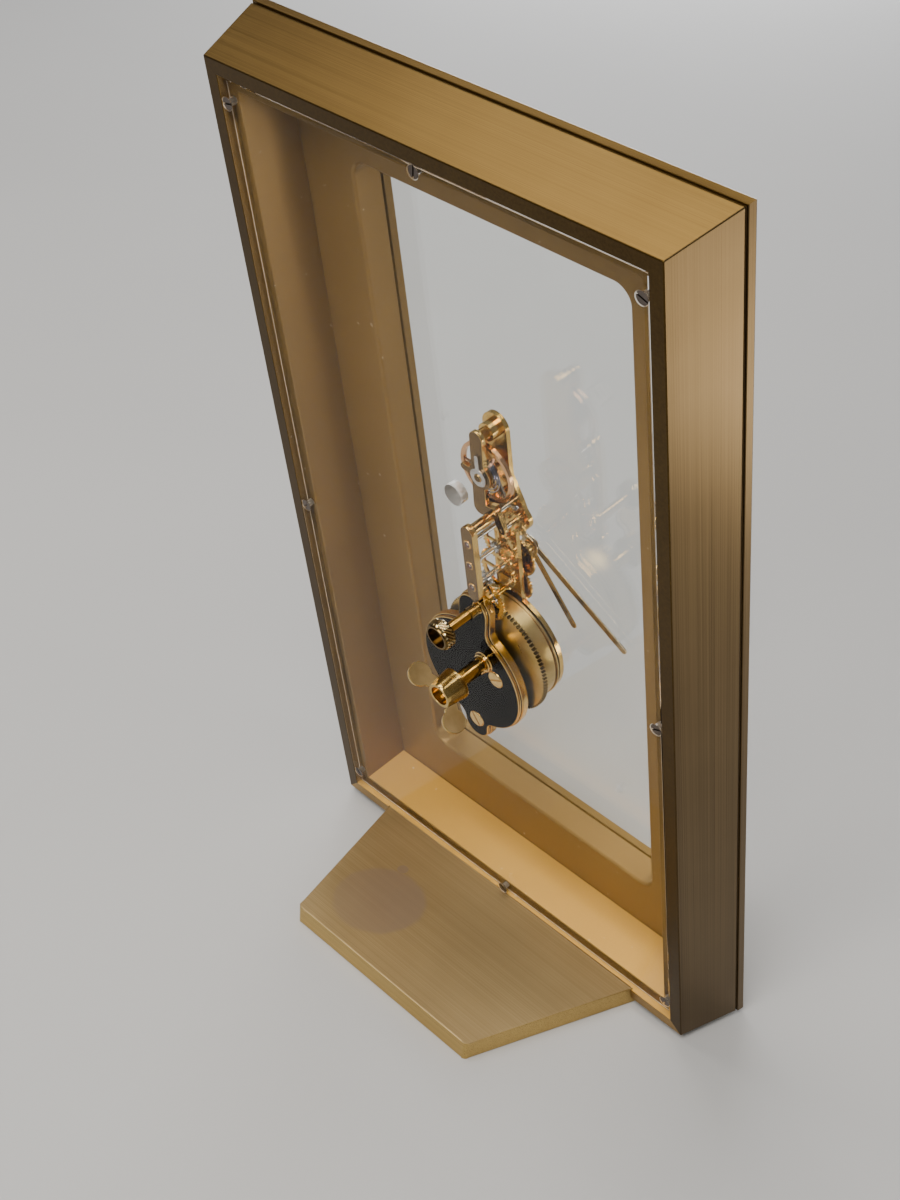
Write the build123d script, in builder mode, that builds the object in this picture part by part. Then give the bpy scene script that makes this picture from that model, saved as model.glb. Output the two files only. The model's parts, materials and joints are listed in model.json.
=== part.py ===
from build123d import *
import math
import os

os.makedirs("parts", exist_ok=True)

# Leaning case. Depth runs from the rear rim towards the front, height runs up the leaning case.
lean_angle = 12.3
case_width = 126.7
case_height = 230.0
flare_depth = 19.5
frame_depth = 17.0
rim_width = 3.6
ledge_width = 3.56
shadow_gap = 0.8
shadow_inset = 1.5
fit_gap = 0.15

# Front: bevelled bezel, pressed mask and glass
window_side_border = 23.55
window_end_border = 24.05
window_radius = 4.2
mask_sheet = 1.2
mask_lap = 1.5
mask_lip_radius = 0.9
glass_depth = 24.4
glass_thickness = 1.6
glass_lap = 4.4
lip_depth = 28.0
lip_flat = 2.2
bezel_wall = 1.8

# Rear cover and its screws
cover_thickness = 3.0
cover_screw_edge = 5.3
cover_screw_radius = 0.9
cover_screw_head_radius = 1.5
cover_screw_head_height = 0.8
cover_screw_sink = 0.15
cover_screw_length = 7.5
cover_corner_screw_height = 9.6
cover_middle_screw_drop = 5.0
cover_bottom_screw_height = 5.85
regulator_hole_radius = 2.7

# Stand plate, level on the table
foot_gap = 1.87
stand_thickness = 5.5
stand_rear_reach = 46.0
stand_front_reach = 15.0
stand_rim_half_width = 46.4
stand_end_half_width = 32.0
stand_corner_radius = 1.5
stand_screw_spacing = 30.0
stand_screw_inset = 8.0
stand_screw_radius = 1.2
stand_screw_head_radius = 2.4
stand_screw_head_height = 1.7
stand_screw_recess = 0.4
stand_screw_grip = 3.6

# Going train, bottom to top: height of the barrel, then tooth counts and modules
barrel_height = 90.2
great_teeth = 96
great_leaves = 12
great_spacing = 18.0
intermediate_teeth = 30
intermediate_leaves = 10
intermediate_module = 0.35
centre_teeth = 36
centre_leaves = 9
third_teeth = 35
third_leaves = 8
train_module = 0.3
fourth_teeth = 38
fourth_leaves = 8
fourth_module = 0.28
escape_angle = 148.7
escape_teeth = 15
escape_radius = 3.6
pallet_angle = 70.0
pallet_spacing = 4.4
balance_rise = 16.1

# Motion work
minute_teeth = 36
minute_leaves = 12
hour_teeth = 40
hour_leaves = 10

# Layers of the movement, as depths
bar_depth = 3.3
cover_plate_depth = 4.0
cover_plate_thickness = 1.0
bridge_thickness = 2.0
intermediate_wheel_depth = 7.3
wheel_thickness = 0.6
great_wheel_depth = 8.2
great_wheel_thickness = 1.2
drum_length = 3.8
lid_thickness = 1.0
lid_groove = 0.35
cock_depth = 9.0
cock_thickness = 1.2
balance_depth = 11.0
balance_rim_thickness = 1.0
centre_wheel_depth = 11.3
third_wheel_depth = 12.7
escape_depth = 12.9
escape_thickness = 0.5
plate_depth = 14.8
plate_thickness = 1.2
front_wheel_gap = 0.5
motion_layer_step = 1.2
hour_hand_depth = 21.9
hand_step = 1.0
hand_thickness = 0.4

# Round sizes of the movement
drum_radius = 15.0
drum_wall = 0.9
lid_radius = 15.3
arbor_radius = 1.95
arbor_hub_radius = 3.2
arbor_pivot_radius = 1.2
running_gap = 0.05
stem_radius = 1.25
cover_hole_gap = 0.3
stem_front_radius = 0.85
wheel_arbor_radius = 0.6
centre_arbor_radius = 0.7
cannon_arbor_radius = 0.55
cannon_pipe_radius = 1.05
hour_pipe_radius = 1.6
pivot_radius = 0.3
pinion_overrun = 0.2
jewel_radius = 1.1
jewel_stand = 0.15
pillar_radius = 1.5
cock_pillar_radius = 0.9
foot_radius = 2.2
wheel_rim = 0.9
wheel_hub_radius = 1.1
spokes = 4
spoke_width = 0.6

# Winding key and ratchet
key_start = 6.1
key_length = 5.8
key_front_radius = 4.25
key_rear_radius = 3.3
key_socket_radius = 2.5
key_socket_depth = 2.0
key_wing_angle = 41.0
key_wing_reach = 6.9
key_wing_overhang = 0.7
key_lobe_radius = 3.0
key_waist = 3.4
key_wing_thickness = 1.0
ratchet_radius = 6.0
ratchet_teeth = 30
ratchet_thickness = 0.8
click_reach = 11.1
click_angle = 140.0
click_tip_angle = 165.0
click_width = 1.2
click_clearance = 0.12

# Setting knob
knob_start = 7.0
knob_length = 3.3
knob_radius = 3.75
knob_recess_radius = 2.7
knob_recess_depth = 1.4

# Movement plates and pillars, placed from the barrel as (across, up the case)
plate_body_shift = (5.2, -7.2)
plate_body_radius = 16.3
top_ear_shift = (2.0, 15.8)
top_ear_radius = 4.6
bottom_ear_shift = (5.5, -25.4)
bottom_ear_radius = 3.9
ear_fillet = 3.0
bridge_margin = 0.3
plate_boss_radius = 2.6
plate_boss_stand = 0.8
left_pillar_shift = (18.5, -7.7)
bottom_pillar_shift = (4.9, -23.0)
low_foot_shift = (20.5, -20.2)
plate_screw_shift = (-3.9, -3.3)
bridge_screw_radius = 2.4
bridge_screw_height = 0.5
train_bar_half_width = 1.9
train_bar_gap = 1.4
bar_tongue_half_width = 1.5
bar_tongue_drop = 0.6
train_pillar_rise = 3.1
train_pillar_radius = 1.3
cock_pillar_drop = 9.3
cock_pillar_shift = 0.9
cock_margin = 0.5
cock_ring_margin = 1.0
cock_arm_margin = 0.3
top_pillar_rise = 10.5
top_collar_radius = 2.3
top_collar_length = 2.6
foot_margin = 0.6
foot_screw_radius = 0.9
foot_screw_head_radius = 1.9
foot_screw_head_height = 1.0
foot_screw_grip = 4.0
strip_width = 7.4
escape_strip_width = 6.4
lever_strip_width = 5.4

# Balance and hairspring
balance_radius = 8.0
balance_rim = 1.0
balance_spoke_width = 0.84
balance_spoke_inset = 0.2
roller_radius = 2.6
roller_thickness = 0.3
roller_gap = 0.3
impulse_radius = 2.1
impulse_pin_radius = 0.25
impulse_pin_gap = 0.1
pallet_gap = 0.34
stone_spread = 34.0
stone_length = 1.0
stone_width = 0.45
arm_width = 0.9
fork_gap = 1.0
tine_length = 1.5
tine_angle = 28.0
spring_turns = 5
spring_pitch = 0.75
spring_strip = 0.16
spring_height = 0.35
collet_radius = 1.15
spring_clearance = 0.1
stud_size = 0.9
index_ring_radius = 2.4
index_tail = 5.6
index_tail_width = 1.2
index_thickness = 0.5
index_boss_radius = 1.0
index_boss_stand = 0.2
mainspring_turns = 5
mainspring_pitch = 1.8
mainspring_strip = 0.4
mainspring_clearance = 0.15
mainspring_end_gap = 0.5

# Hands, as seen from the front
minute_hand_length = 34.0
hour_hand_length = 23.0
hand_width = 2.0
hand_tail = 4.0
minute_hub_radius = 2.1
hour_hub_radius = 2.72
minute_hand_angle = 238.0
hour_hand_angle = 216.0

# Worked-out placement
lean_sine = math.sin(math.radians(lean_angle))
lean_cosine = math.cos(math.radians(lean_angle))
lean_tangent = lean_sine / lean_cosine
middle = case_height / 2
window_width = case_width - 2 * window_side_border
window_height = case_height - 2 * window_end_border
window_bottom = middle - window_height / 2
front_reach = lip_depth * lean_cosine - (window_bottom - lip_flat) * lean_sine
rim_y = (front_reach - case_height * lean_sine) / 2
opening_width = case_width - 2 * (rim_width + ledge_width)
opening_height = case_height - 2 * (rim_width + ledge_width)


def at_depth(depth):
    """Sketch plane across the leaning case: x to the right, y up the case, normal to the front."""
    origin = (0, rim_y - depth * lean_cosine, foot_gap + depth * lean_sine)
    return Plane(origin=origin, x_dir=(1, 0, 0), z_dir=(0, -lean_cosine, lean_sine))


def flared(size, depth):
    """An outer size of the case at a depth, where the four sides flare alike."""
    return size + 2 * depth * lean_tangent


def polar(centre, radius, angle):
    """The point at a radius and an angle from a centre, in the plane of the case."""
    turn = math.radians(angle)
    return (centre[0] + radius * math.cos(turn), centre[1] + radius * math.sin(turn))


def pane(depth, width, height, corner=0.0):
    """A rectangle across the case, centred on it."""
    with BuildSketch(at_depth(depth)) as sheet:
        with Locations((0, middle)):
            if corner:
                RectangleRounded(width, height, corner)
            else:
                Rectangle(width, height)
    return sheet.sketch


def slab(start, end, width, height, corner=0.0, mode=Mode.ADD):
    """A straight block or opening, centred on the case."""
    extrude(pane(start, width, height, corner), amount=end - start, mode=mode)


def rod(start, end, centre, radius, mode=Mode.ADD):
    """A round shaft or bore along the depth axis."""
    with BuildSketch(at_depth(start)) as disc:
        with Locations(centre):
            Circle(radius)
    extrude(disc.sketch, amount=end - start, mode=mode)


def cone(start, end, centre, first_radius, last_radius, mode=Mode.ADD):
    """A tapered plug or countersink along the depth axis."""
    with BuildSketch(at_depth(start)) as disc:
        with Locations(centre):
            Circle(first_radius)
    slope = math.degrees(math.atan2(first_radius - last_radius, end - start))
    extrude(disc.sketch, amount=end - start, taper=slope, mode=mode)


def link(first, second, width):
    """A round-ended bar between two points, drawn in the current sketch."""
    across, rise = second[0] - first[0], second[1] - first[1]
    turn = math.degrees(math.atan2(rise, across))
    with Locations(((first[0] + second[0]) / 2, (first[1] + second[1]) / 2)):
        SlotCenterToCenter(math.hypot(across, rise), width, rotation=turn)


def sharp_corners(outline):
    """Vertices of an outline where two edges meet at an angle."""
    edges = outline.edges()
    found = []
    for vertex in outline.vertices():
        spot = Vector(*vertex)
        runs = [edge % end for edge in edges for end in (0, 1) if (edge @ end - spot).length < 1e-4]
        if len(runs) == 2 and runs[0].cross(runs[1]).length > 0.1:
            found.append(vertex)
    return found


# Tooth outlines: (height over the pitch circle in modules, share of the tooth pitch)
wheel_form = ((-0.95, -0.31), (0.85, -0.09), (0.85, 0.09), (-0.95, 0.31))
pinion_form = ((-1.20, -0.22), (0.55, -0.10), (0.55, 0.10), (-1.20, 0.22))
escape_form = ((-1.9, -0.34), (0.0, 0.02), (0.0, 0.16), (-1.9, 0.10))
ratchet_form = ((-1.5, -0.42), (0.0, 0.30), (-1.5, 0.40))


def toothed(centre, teeth, module, phase, form):
    """A toothed outline, drawn in the current sketch, with one tooth centred on the phase angle."""
    pitch_radius = module * teeth / 2
    points = []
    for tooth in range(teeth):
        for height, share in form:
            angle = phase + 360 / teeth * (tooth + share)
            points.append(polar(centre, pitch_radius + height * module, angle))
    Polygon(*points, align=None)


def pinion(depth, thickness, centre, leaves, module, phase):
    """A solid pinion that runs a little past both faces of the wheel it works with."""
    with BuildSketch(at_depth(depth - pinion_overrun)) as outline:
        toothed(centre, leaves, module, phase, pinion_form)
    extrude(outline.sketch, amount=thickness + 2 * pinion_overrun)


def spoked_wheel(depth, thickness, centre, teeth, module, phase, form, spokes):
    """A thin toothed wheel with a rim, a hub and straight spokes."""
    root_radius = module * teeth / 2 + form[0][0] * module
    inner_radius = root_radius - wheel_rim
    with BuildSketch(at_depth(depth)) as outline:
        toothed(centre, teeth, module, phase, form)
        with Locations(centre):
            Circle(inner_radius, mode=Mode.SUBTRACT)
            Circle(wheel_hub_radius)
            with PolarLocations((inner_radius + wheel_rim / 2) / 2, spokes):
                Rectangle(inner_radius + wheel_rim / 2, spoke_width)
    extrude(outline.sketch, amount=thickness)


def pinion_root(leaves, module):
    """Radius at the foot of a pinion's leaves."""
    return module * (leaves / 2 + pinion_form[0][0])


def gap_phase(angle, teeth):
    """Phase that puts a gap between two teeth on the given direction."""
    return angle + 180 / teeth


def spiral(depth, centre, inner_radius, pitch, turns, strip, height):
    """A flat spiral spring of half-turn arcs; returns its least gap to itself, measured on points."""
    shift = pitch / 4
    plane = at_depth(depth)
    with BuildLine(plane) as path:
        for half in range(2 * turns):
            radius = inner_radius + half * pitch / 2
            side = -shift if half % 2 == 0 else shift
            CenterArc((centre[0] + side, centre[1]), radius, 180 * (half % 2), 180)
    wire = path.wire()
    with BuildSketch(Plane(origin=wire @ 0, x_dir=plane.z_dir, z_dir=wire % 0)) as section:
        Rectangle(height, strip)
    sweep(section.sketch, path=wire)
    per_turn = 24
    points = [wire @ (step / (per_turn * turns)) for step in range(per_turn * turns + 1)]
    pairs = [(a, b) for a in range(len(points)) for b in range(a + per_turn // 2, len(points))]
    return min((points[a] - points[b]).length for a, b in pairs) - strip


# Axes of the movement, all as (across, up the case); the train runs straight up
up = 90
barrel_at = (0.0, barrel_height)
great_module = 2 * great_spacing / (great_teeth + great_leaves)
setting_at = (0.0, barrel_height + great_spacing)
setting_spacing = intermediate_module * (intermediate_teeth + intermediate_leaves) / 2
centre_at = (0.0, setting_at[1] + setting_spacing)
third_at = (0.0, centre_at[1] + train_module * (centre_teeth + centre_leaves) / 2)
fourth_at = (0.0, third_at[1] + train_module * (third_teeth + third_leaves) / 2)
escape_at = polar(fourth_at, fourth_module * (fourth_teeth + fourth_leaves) / 2, escape_angle)
pallet_at = polar(escape_at, pallet_spacing, pallet_angle)
balance_at = (0.0, fourth_at[1] + balance_rise)
minute_module = 2 * setting_spacing / (minute_teeth + minute_leaves)
hour_module = 2 * setting_spacing / (hour_teeth + hour_leaves)
train_pillar = (0.0, fourth_at[1] + train_pillar_rise)
cock_pillar = (cock_pillar_shift, balance_at[1] - cock_pillar_drop)
top_pillar = (0.0, balance_at[1] + top_pillar_rise)
spring_inner_radius = collet_radius + spring_pitch / 4 + spring_strip / 2 + spring_clearance
spring_reach = spring_inner_radius + (spring_turns - 0.25) * spring_pitch
stud_at = (balance_at[0] + spring_reach, balance_at[1] + stud_size / 2)
mainspring_inner = arbor_hub_radius + mainspring_pitch / 4 + mainspring_strip / 2 + mainspring_clearance
mainspring_outer = mainspring_inner + (mainspring_turns - 0.25) * mainspring_pitch
click_pivot = polar(barrel_at, click_reach, click_angle)
click_tip = polar(barrel_at, ratchet_radius + click_clearance + click_width / 2, click_tip_angle)


def from_barrel(shift):
    """A place given by its distance across and up from the barrel."""
    return (barrel_at[0] + shift[0], barrel_at[1] + shift[1])


plate_body = from_barrel(plate_body_shift)
top_ear = from_barrel(top_ear_shift)
bottom_ear = from_barrel(bottom_ear_shift)
left_pillar = from_barrel(left_pillar_shift)
bottom_pillar = from_barrel(bottom_pillar_shift)
plate_screw = from_barrel(plate_screw_shift)
feet = (left_pillar, bottom_pillar, from_barrel(low_foot_shift))
bar_foot = (0.0, setting_at[1] + stem_radius + train_bar_gap + train_bar_half_width)
tongue_end = (0.0, bar_foot[1] - bar_tongue_drop)

# Layer ends
boss_depth = cover_plate_depth - plate_boss_stand
bridge_depth = cover_plate_depth + cover_plate_thickness
bridge_front = bridge_depth + bridge_thickness
drum_depth = great_wheel_depth + great_wheel_thickness
lid_depth = drum_depth + drum_length
cock_front = cock_depth + cock_thickness
plate_front = plate_depth + plate_thickness
front_wheel_depth = plate_front + front_wheel_gap
ratchet_end = front_wheel_depth + ratchet_thickness
hour_wheel_depth = front_wheel_depth + motion_layer_step
minute_hand_depth = hour_hand_depth + hand_step
hour_pipe_end = hour_hand_depth + hand_thickness
cannon_end = minute_hand_depth + hand_thickness
cover_screw_neck = cover_screw_sink + cover_screw_head_height
head_slope = (cover_screw_head_radius - cover_screw_radius) / cover_screw_head_height
countersink_radius = cover_screw_radius + cover_screw_neck * head_slope + running_gap
screw_half_width = case_width / 2 - cover_screw_edge
cover_screw_spots = [(side * screw_half_width, height)
                     for side in (-1, 1)
                     for height in (cover_corner_screw_height, middle - cover_middle_screw_drop,
                                    case_height - cover_corner_screw_height)]
cover_screw_spots += [(0, cover_bottom_screw_height), (0, case_height - cover_screw_edge)]
stand_screw_y = rim_y - stand_screw_inset
stand_screw_spots = [(side * stand_screw_spacing, stand_screw_y) for side in (-1, 0, 1)]
stand_taper = (stand_rim_half_width - stand_end_half_width) / stand_rear_reach


def stand_outline(clearance, rear_reach):
    """Trapezoid of the stand plate, drawn in the current level sketch."""
    front_y = rim_y - stand_front_reach - clearance
    rear_y = rim_y + rear_reach
    front_half = stand_rim_half_width + stand_taper * (stand_front_reach + clearance) + clearance
    rear_half = stand_rim_half_width - stand_taper * rear_reach + clearance
    Polygon((-front_half, front_y), (front_half, front_y), (rear_half, rear_y), (-rear_half, rear_y),
            align=None)


# Case frame: flared tube with a rear rim, a ledge for the cover and a slot for the stand
with BuildPart() as case_frame:
    loft([pane(0, case_width, case_height),
          pane(frame_depth, flared(case_width, frame_depth), flared(case_height, frame_depth))])
    slab(0, cover_thickness, case_width - 2 * rim_width, case_height - 2 * rim_width, mode=Mode.SUBTRACT)
    slab(0, frame_depth, opening_width, opening_height, mode=Mode.SUBTRACT)
    with BuildSketch(Plane.XY):
        stand_outline(fit_gap, stand_rear_reach)
    extrude(amount=stand_thickness, mode=Mode.SUBTRACT)
    for spot in cover_screw_spots:
        rod(cover_thickness, cover_screw_length + fit_gap, spot, cover_screw_radius + running_gap,
            Mode.SUBTRACT)
    with BuildSketch(Plane.XY.offset(stand_thickness)):
        with Locations(*stand_screw_spots):
            Circle(stand_screw_radius + running_gap)
    extrude(amount=stand_screw_grip + fit_gap, mode=Mode.SUBTRACT)
case_frame.part.label = "case_frame"
export_step(case_frame.part, "parts/case_frame.step")

# Stand plate: trapezoid foot that the frame sits on
with BuildPart() as stand_plate:
    with BuildSketch(Plane.XY):
        stand_outline(0, stand_rear_reach)
    extrude(amount=stand_thickness)
    rear_corners = stand_plate.edges().filter_by(Axis.Z).group_by(Axis.Y)[-1]
    fillet(rear_corners, radius=stand_corner_radius)
    with BuildSketch(Plane.XY):
        with Locations(*stand_screw_spots):
            Circle(stand_screw_radius + running_gap)
    extrude(amount=stand_thickness, mode=Mode.SUBTRACT)
    with BuildSketch(Plane.XY):
        with Locations(*stand_screw_spots):
            Circle(stand_screw_head_radius + running_gap)
    extrude(amount=stand_screw_recess + stand_screw_head_height, mode=Mode.SUBTRACT)
stand_plate.part.label = "stand_plate"
export_step(stand_plate.part, "parts/stand_plate.step")

with BuildPart() as stand_screws:
    with BuildSketch(Plane.XY.offset(stand_screw_recess)):
        with Locations(*stand_screw_spots):
            Circle(stand_screw_head_radius)
    extrude(amount=stand_screw_head_height)
    with BuildSketch(Plane.XY.offset(stand_screw_recess)):
        with Locations(*stand_screw_spots):
            Circle(stand_screw_radius)
    extrude(amount=stand_thickness - stand_screw_recess + stand_screw_grip)
stand_screws.part.label = "stand_screws"
export_step(stand_screws.part, "parts/stand_screws.step")

# Front bezel: side band behind the widest edge, bevel up to the window lip, hollow inside
band_depth = frame_depth + shadow_gap
widest_width = flared(case_width, flare_depth)
widest_height = flared(case_height, flare_depth)
lip_width = window_width + 2 * lip_flat
lip_height = window_height + 2 * lip_flat
pocket_width = opening_width + 2 * mask_lap
pocket_height = opening_height + 2 * mask_lap
glass_width = window_width + 2 * glass_lap
glass_height = window_height + 2 * glass_lap
mask_front = frame_depth + mask_sheet


def bevel_size(widest, lip, depth):
    """Inside size of the bezel's hollow at a depth, one wall behind the bevel."""
    return widest - (widest - lip) * (depth + bezel_wall - flare_depth) / (lip_depth - flare_depth)


hollow_depth = flare_depth - bezel_wall + (lip_depth - flare_depth) * (widest_width - pocket_width) / (
    widest_width - lip_width)

with BuildPart() as front_bezel:
    loft([pane(band_depth, flared(case_width, band_depth), flared(case_height, band_depth)),
          pane(flare_depth, widest_width, widest_height)])
    loft([pane(flare_depth, widest_width, widest_height), pane(lip_depth, lip_width, lip_height)])
    slab(frame_depth, band_depth, flared(case_width, frame_depth) - 2 * shadow_inset,
         flared(case_height, frame_depth) - 2 * shadow_inset)
    slab(frame_depth, hollow_depth, pocket_width, pocket_height, mode=Mode.SUBTRACT)
    loft([pane(hollow_depth, pocket_width, pocket_height),
          pane(glass_depth, bevel_size(widest_width, lip_width, glass_depth),
               bevel_size(widest_height, lip_height, glass_depth))], mode=Mode.SUBTRACT)
    slab(glass_depth, glass_depth + glass_thickness, glass_width, glass_height, mode=Mode.SUBTRACT)
    slab(glass_depth, lip_depth, window_width, window_height, window_radius, Mode.SUBTRACT)
front_bezel.part.label = "front_bezel"
export_step(front_bezel.part, "parts/front_bezel.step")

# Inner mask: sheet clamped between frame and bezel, with a collar that holds the glass
with BuildPart() as inner_mask:
    slab(frame_depth, mask_front, pocket_width - 2 * fit_gap, pocket_height - 2 * fit_gap)
    slab(frame_depth, glass_depth, window_width + 2 * mask_sheet, window_height + 2 * mask_sheet,
         window_radius + mask_sheet)
    slab(frame_depth, glass_depth, window_width, window_height, window_radius, Mode.SUBTRACT)
    rear_face = inner_mask.faces().sort_by(Axis((0, 0, 0), at_depth(0).z_dir))[0]
    fillet(rear_face.inner_wires()[0].edges(), radius=mask_lip_radius)
inner_mask.part.label = "inner_mask"
export_step(inner_mask.part, "parts/inner_mask.step")

# Front glass, with holes for the screws of the movement's feet
with BuildPart() as front_glass:
    slab(glass_depth, glass_depth + glass_thickness, glass_width - 2 * fit_gap, glass_height - 2 * fit_gap)
    for spot in feet:
        rod(glass_depth, glass_depth + glass_thickness, spot, foot_screw_radius + fit_gap, Mode.SUBTRACT)
front_glass.part.label = "front_glass"
export_step(front_glass.part, "parts/front_glass.step")

# Rear cover: clear plate flush with the rim, countersunk for its screws
with BuildPart() as rear_cover:
    cover_inset = rim_width + fit_gap
    slab(0, cover_thickness, case_width - 2 * cover_inset, case_height - 2 * cover_inset)
    rod(0, cover_thickness, barrel_at, arbor_radius + cover_hole_gap, Mode.SUBTRACT)
    rod(0, cover_thickness, setting_at, stem_radius + cover_hole_gap, Mode.SUBTRACT)
    rod(0, cover_thickness, balance_at, regulator_hole_radius, Mode.SUBTRACT)
    for spot in cover_screw_spots:
        cone(0, cover_screw_neck, spot, countersink_radius, cover_screw_radius, Mode.SUBTRACT)
        rod(0, cover_thickness, spot, cover_screw_radius + running_gap, Mode.SUBTRACT)
rear_cover.part.label = "rear_cover"
export_step(rear_cover.part, "parts/rear_cover.step")

with BuildPart() as cover_screws:
    for spot in cover_screw_spots:
        cone(cover_screw_sink, cover_screw_neck, spot, cover_screw_head_radius, cover_screw_radius)
        rod(cover_screw_neck, cover_screw_length, spot, cover_screw_radius)
cover_screws.part.label = "cover_screws"
export_step(cover_screws.part, "parts/cover_screws.step")

# Main plate of the movement: round behind the barrel, with a narrow strip up to the balance
with BuildPart() as main_plate:
    with BuildSketch(at_depth(plate_depth)):
        with Locations(barrel_at):
            Circle(drum_radius)
        for spot in feet:
            link(barrel_at, spot, 2 * (foot_radius + foot_margin))
        link(barrel_at, top_pillar, strip_width)
        link(fourth_at, escape_at, escape_strip_width)
        link(escape_at, pallet_at, lever_strip_width)
        link(pallet_at, balance_at, lever_strip_width)
    extrude(amount=plate_thickness)
    for spot, radius in ((barrel_at, arbor_pivot_radius), (setting_at, stem_front_radius),
                         (centre_at, centre_arbor_radius), (third_at, pivot_radius),
                         (fourth_at, wheel_arbor_radius), (escape_at, wheel_arbor_radius),
                         (pallet_at, pivot_radius), (balance_at, pivot_radius)):
        rod(plate_depth, plate_front, spot, radius + running_gap, Mode.SUBTRACT)
    rod(plate_front, ratchet_end + front_wheel_gap, click_pivot, wheel_arbor_radius)
main_plate.part.label = "main_plate"
export_step(main_plate.part, "parts/main_plate.step")

# Feet that carry the movement on the glass
with BuildPart() as movement_feet:
    for spot in feet:
        rod(plate_front, glass_depth, spot, foot_radius)
        rod(glass_depth - foot_screw_grip - fit_gap, glass_depth, spot, foot_screw_radius + running_gap,
            Mode.SUBTRACT)
movement_feet.part.label = "movement_feet"
export_step(movement_feet.part, "parts/movement_feet.step")

glass_front = glass_depth + glass_thickness
with BuildPart() as foot_screws:
    for spot in feet:
        rod(glass_front, glass_front + foot_screw_head_height, spot, foot_screw_head_radius)
        rod(glass_depth - foot_screw_grip, glass_front, spot, foot_screw_radius)
foot_screws.part.label = "foot_screws"
export_step(foot_screws.part, "parts/foot_screws.step")

# Barrel bridge: thick lower plate of the rear stack, on two pillars, with a tongue under the train bar
def plate_outline(margin):
    """Outline of the stacked rear plates, drawn in the current sketch: round body and two ears."""
    with Locations(plate_body):
        Circle(plate_body_radius + margin)
    link(plate_body, top_ear, 2 * (top_ear_radius + margin))
    with Locations(bottom_ear):
        Circle(bottom_ear_radius + margin)


with BuildPart() as barrel_bridge:
    with BuildSketch(at_depth(bridge_depth)) as bridge_outline:
        plate_outline(bridge_margin)
        fillet(sharp_corners(bridge_outline), radius=ear_fillet)
        link(setting_at, tongue_end, 2 * bar_tongue_half_width)
    extrude(amount=bridge_thickness)
    rod(bridge_depth, bridge_front, barrel_at, arbor_radius + running_gap, Mode.SUBTRACT)
    rod(bridge_depth, bridge_front, setting_at, stem_radius + running_gap, Mode.SUBTRACT)
barrel_bridge.part.label = "barrel_bridge"
export_step(barrel_bridge.part, "parts/barrel_bridge.step")

# Bridge cover: polished plate with the same outline and a boss round the barrel arbor
with BuildPart() as bridge_cover:
    with BuildSketch(at_depth(cover_plate_depth)) as cover_outline:
        plate_outline(0)
        fillet(sharp_corners(cover_outline), radius=ear_fillet)
    extrude(amount=cover_plate_thickness)
    rod(boss_depth, cover_plate_depth, barrel_at, plate_boss_radius)
    rod(boss_depth, bridge_depth, barrel_at, arbor_radius + running_gap, Mode.SUBTRACT)
    rod(cover_plate_depth, bridge_depth, setting_at, stem_radius + running_gap, Mode.SUBTRACT)
bridge_cover.part.label = "bridge_cover"
export_step(bridge_cover.part, "parts/bridge_cover.step")

with BuildPart() as bridge_screws:
    for spot in (plate_screw, bottom_pillar):
        rod(cover_plate_depth - bridge_screw_height, cover_plate_depth, spot, bridge_screw_radius)
bridge_screws.part.label = "bridge_screws"
export_step(bridge_screws.part, "parts/bridge_screws.step")

with BuildPart() as bridge_pillars:
    for spot in (left_pillar, bottom_pillar):
        rod(bridge_front, plate_depth, spot, pillar_radius)
bridge_pillars.part.label = "bridge_pillars"
export_step(bridge_pillars.part, "parts/bridge_pillars.step")

# Train bridge: narrow bar with three jewels, on the tongue of the barrel bridge and one pillar
jewel_spots = (centre_at, third_at, fourth_at)
bar_front = bridge_depth
with BuildPart() as train_bridge:
    with BuildSketch(at_depth(bar_depth)):
        link(bar_foot, train_pillar, 2 * train_bar_half_width)
    extrude(amount=bar_front - bar_depth)
    for spot in jewel_spots:
        rod(bar_depth, bar_front, spot, jewel_radius, Mode.SUBTRACT)
train_bridge.part.label = "train_bridge"
export_step(train_bridge.part, "parts/train_bridge.step")

with BuildPart() as train_jewels:
    for spot in jewel_spots:
        rod(bar_depth - jewel_stand, bar_front, spot, jewel_radius)
        rod(bar_depth - jewel_stand, bar_front, spot, pivot_radius + running_gap, Mode.SUBTRACT)
train_jewels.part.label = "train_jewels"
export_step(train_jewels.part, "parts/train_jewels.step")

with BuildPart() as train_pillar_post:
    rod(bar_front, plate_depth, train_pillar, train_pillar_radius)
train_pillar_post.part.label = "train_pillar"
export_step(train_pillar_post.part, "parts/train_pillar.step")

# Balance cock on its two pillars, reaching over the lever and the escape wheel
with BuildPart() as balance_cock:
    with BuildSketch(at_depth(cock_depth)):
        link(cock_pillar, top_pillar, 2 * (pillar_radius + cock_margin))
        with Locations(balance_at):
            Circle(index_ring_radius + cock_ring_margin)
        link(cock_pillar, pallet_at, 2 * (cock_pillar_radius + cock_arm_margin))
        link(pallet_at, escape_at, 2 * (cock_pillar_radius + cock_arm_margin))
        link(balance_at, stud_at, 2 * stud_size)
    extrude(amount=cock_thickness)
    rod(cock_depth - index_thickness - index_boss_stand, cock_depth, balance_at, index_boss_radius)
    for spot in (balance_at, pallet_at, escape_at):
        rod(cock_depth, cock_front, spot, pivot_radius + running_gap, Mode.SUBTRACT)
balance_cock.part.label = "balance_cock"
export_step(balance_cock.part, "parts/balance_cock.step")

with BuildPart() as cock_pillars:
    rod(cock_front, plate_depth, top_pillar, pillar_radius)
    rod(plate_depth - top_collar_length, plate_depth, top_pillar, top_collar_radius)
    rod(cock_front, plate_depth, cock_pillar, cock_pillar_radius)
cock_pillars.part.label = "cock_pillars"
export_step(cock_pillars.part, "parts/cock_pillars.step")

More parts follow.
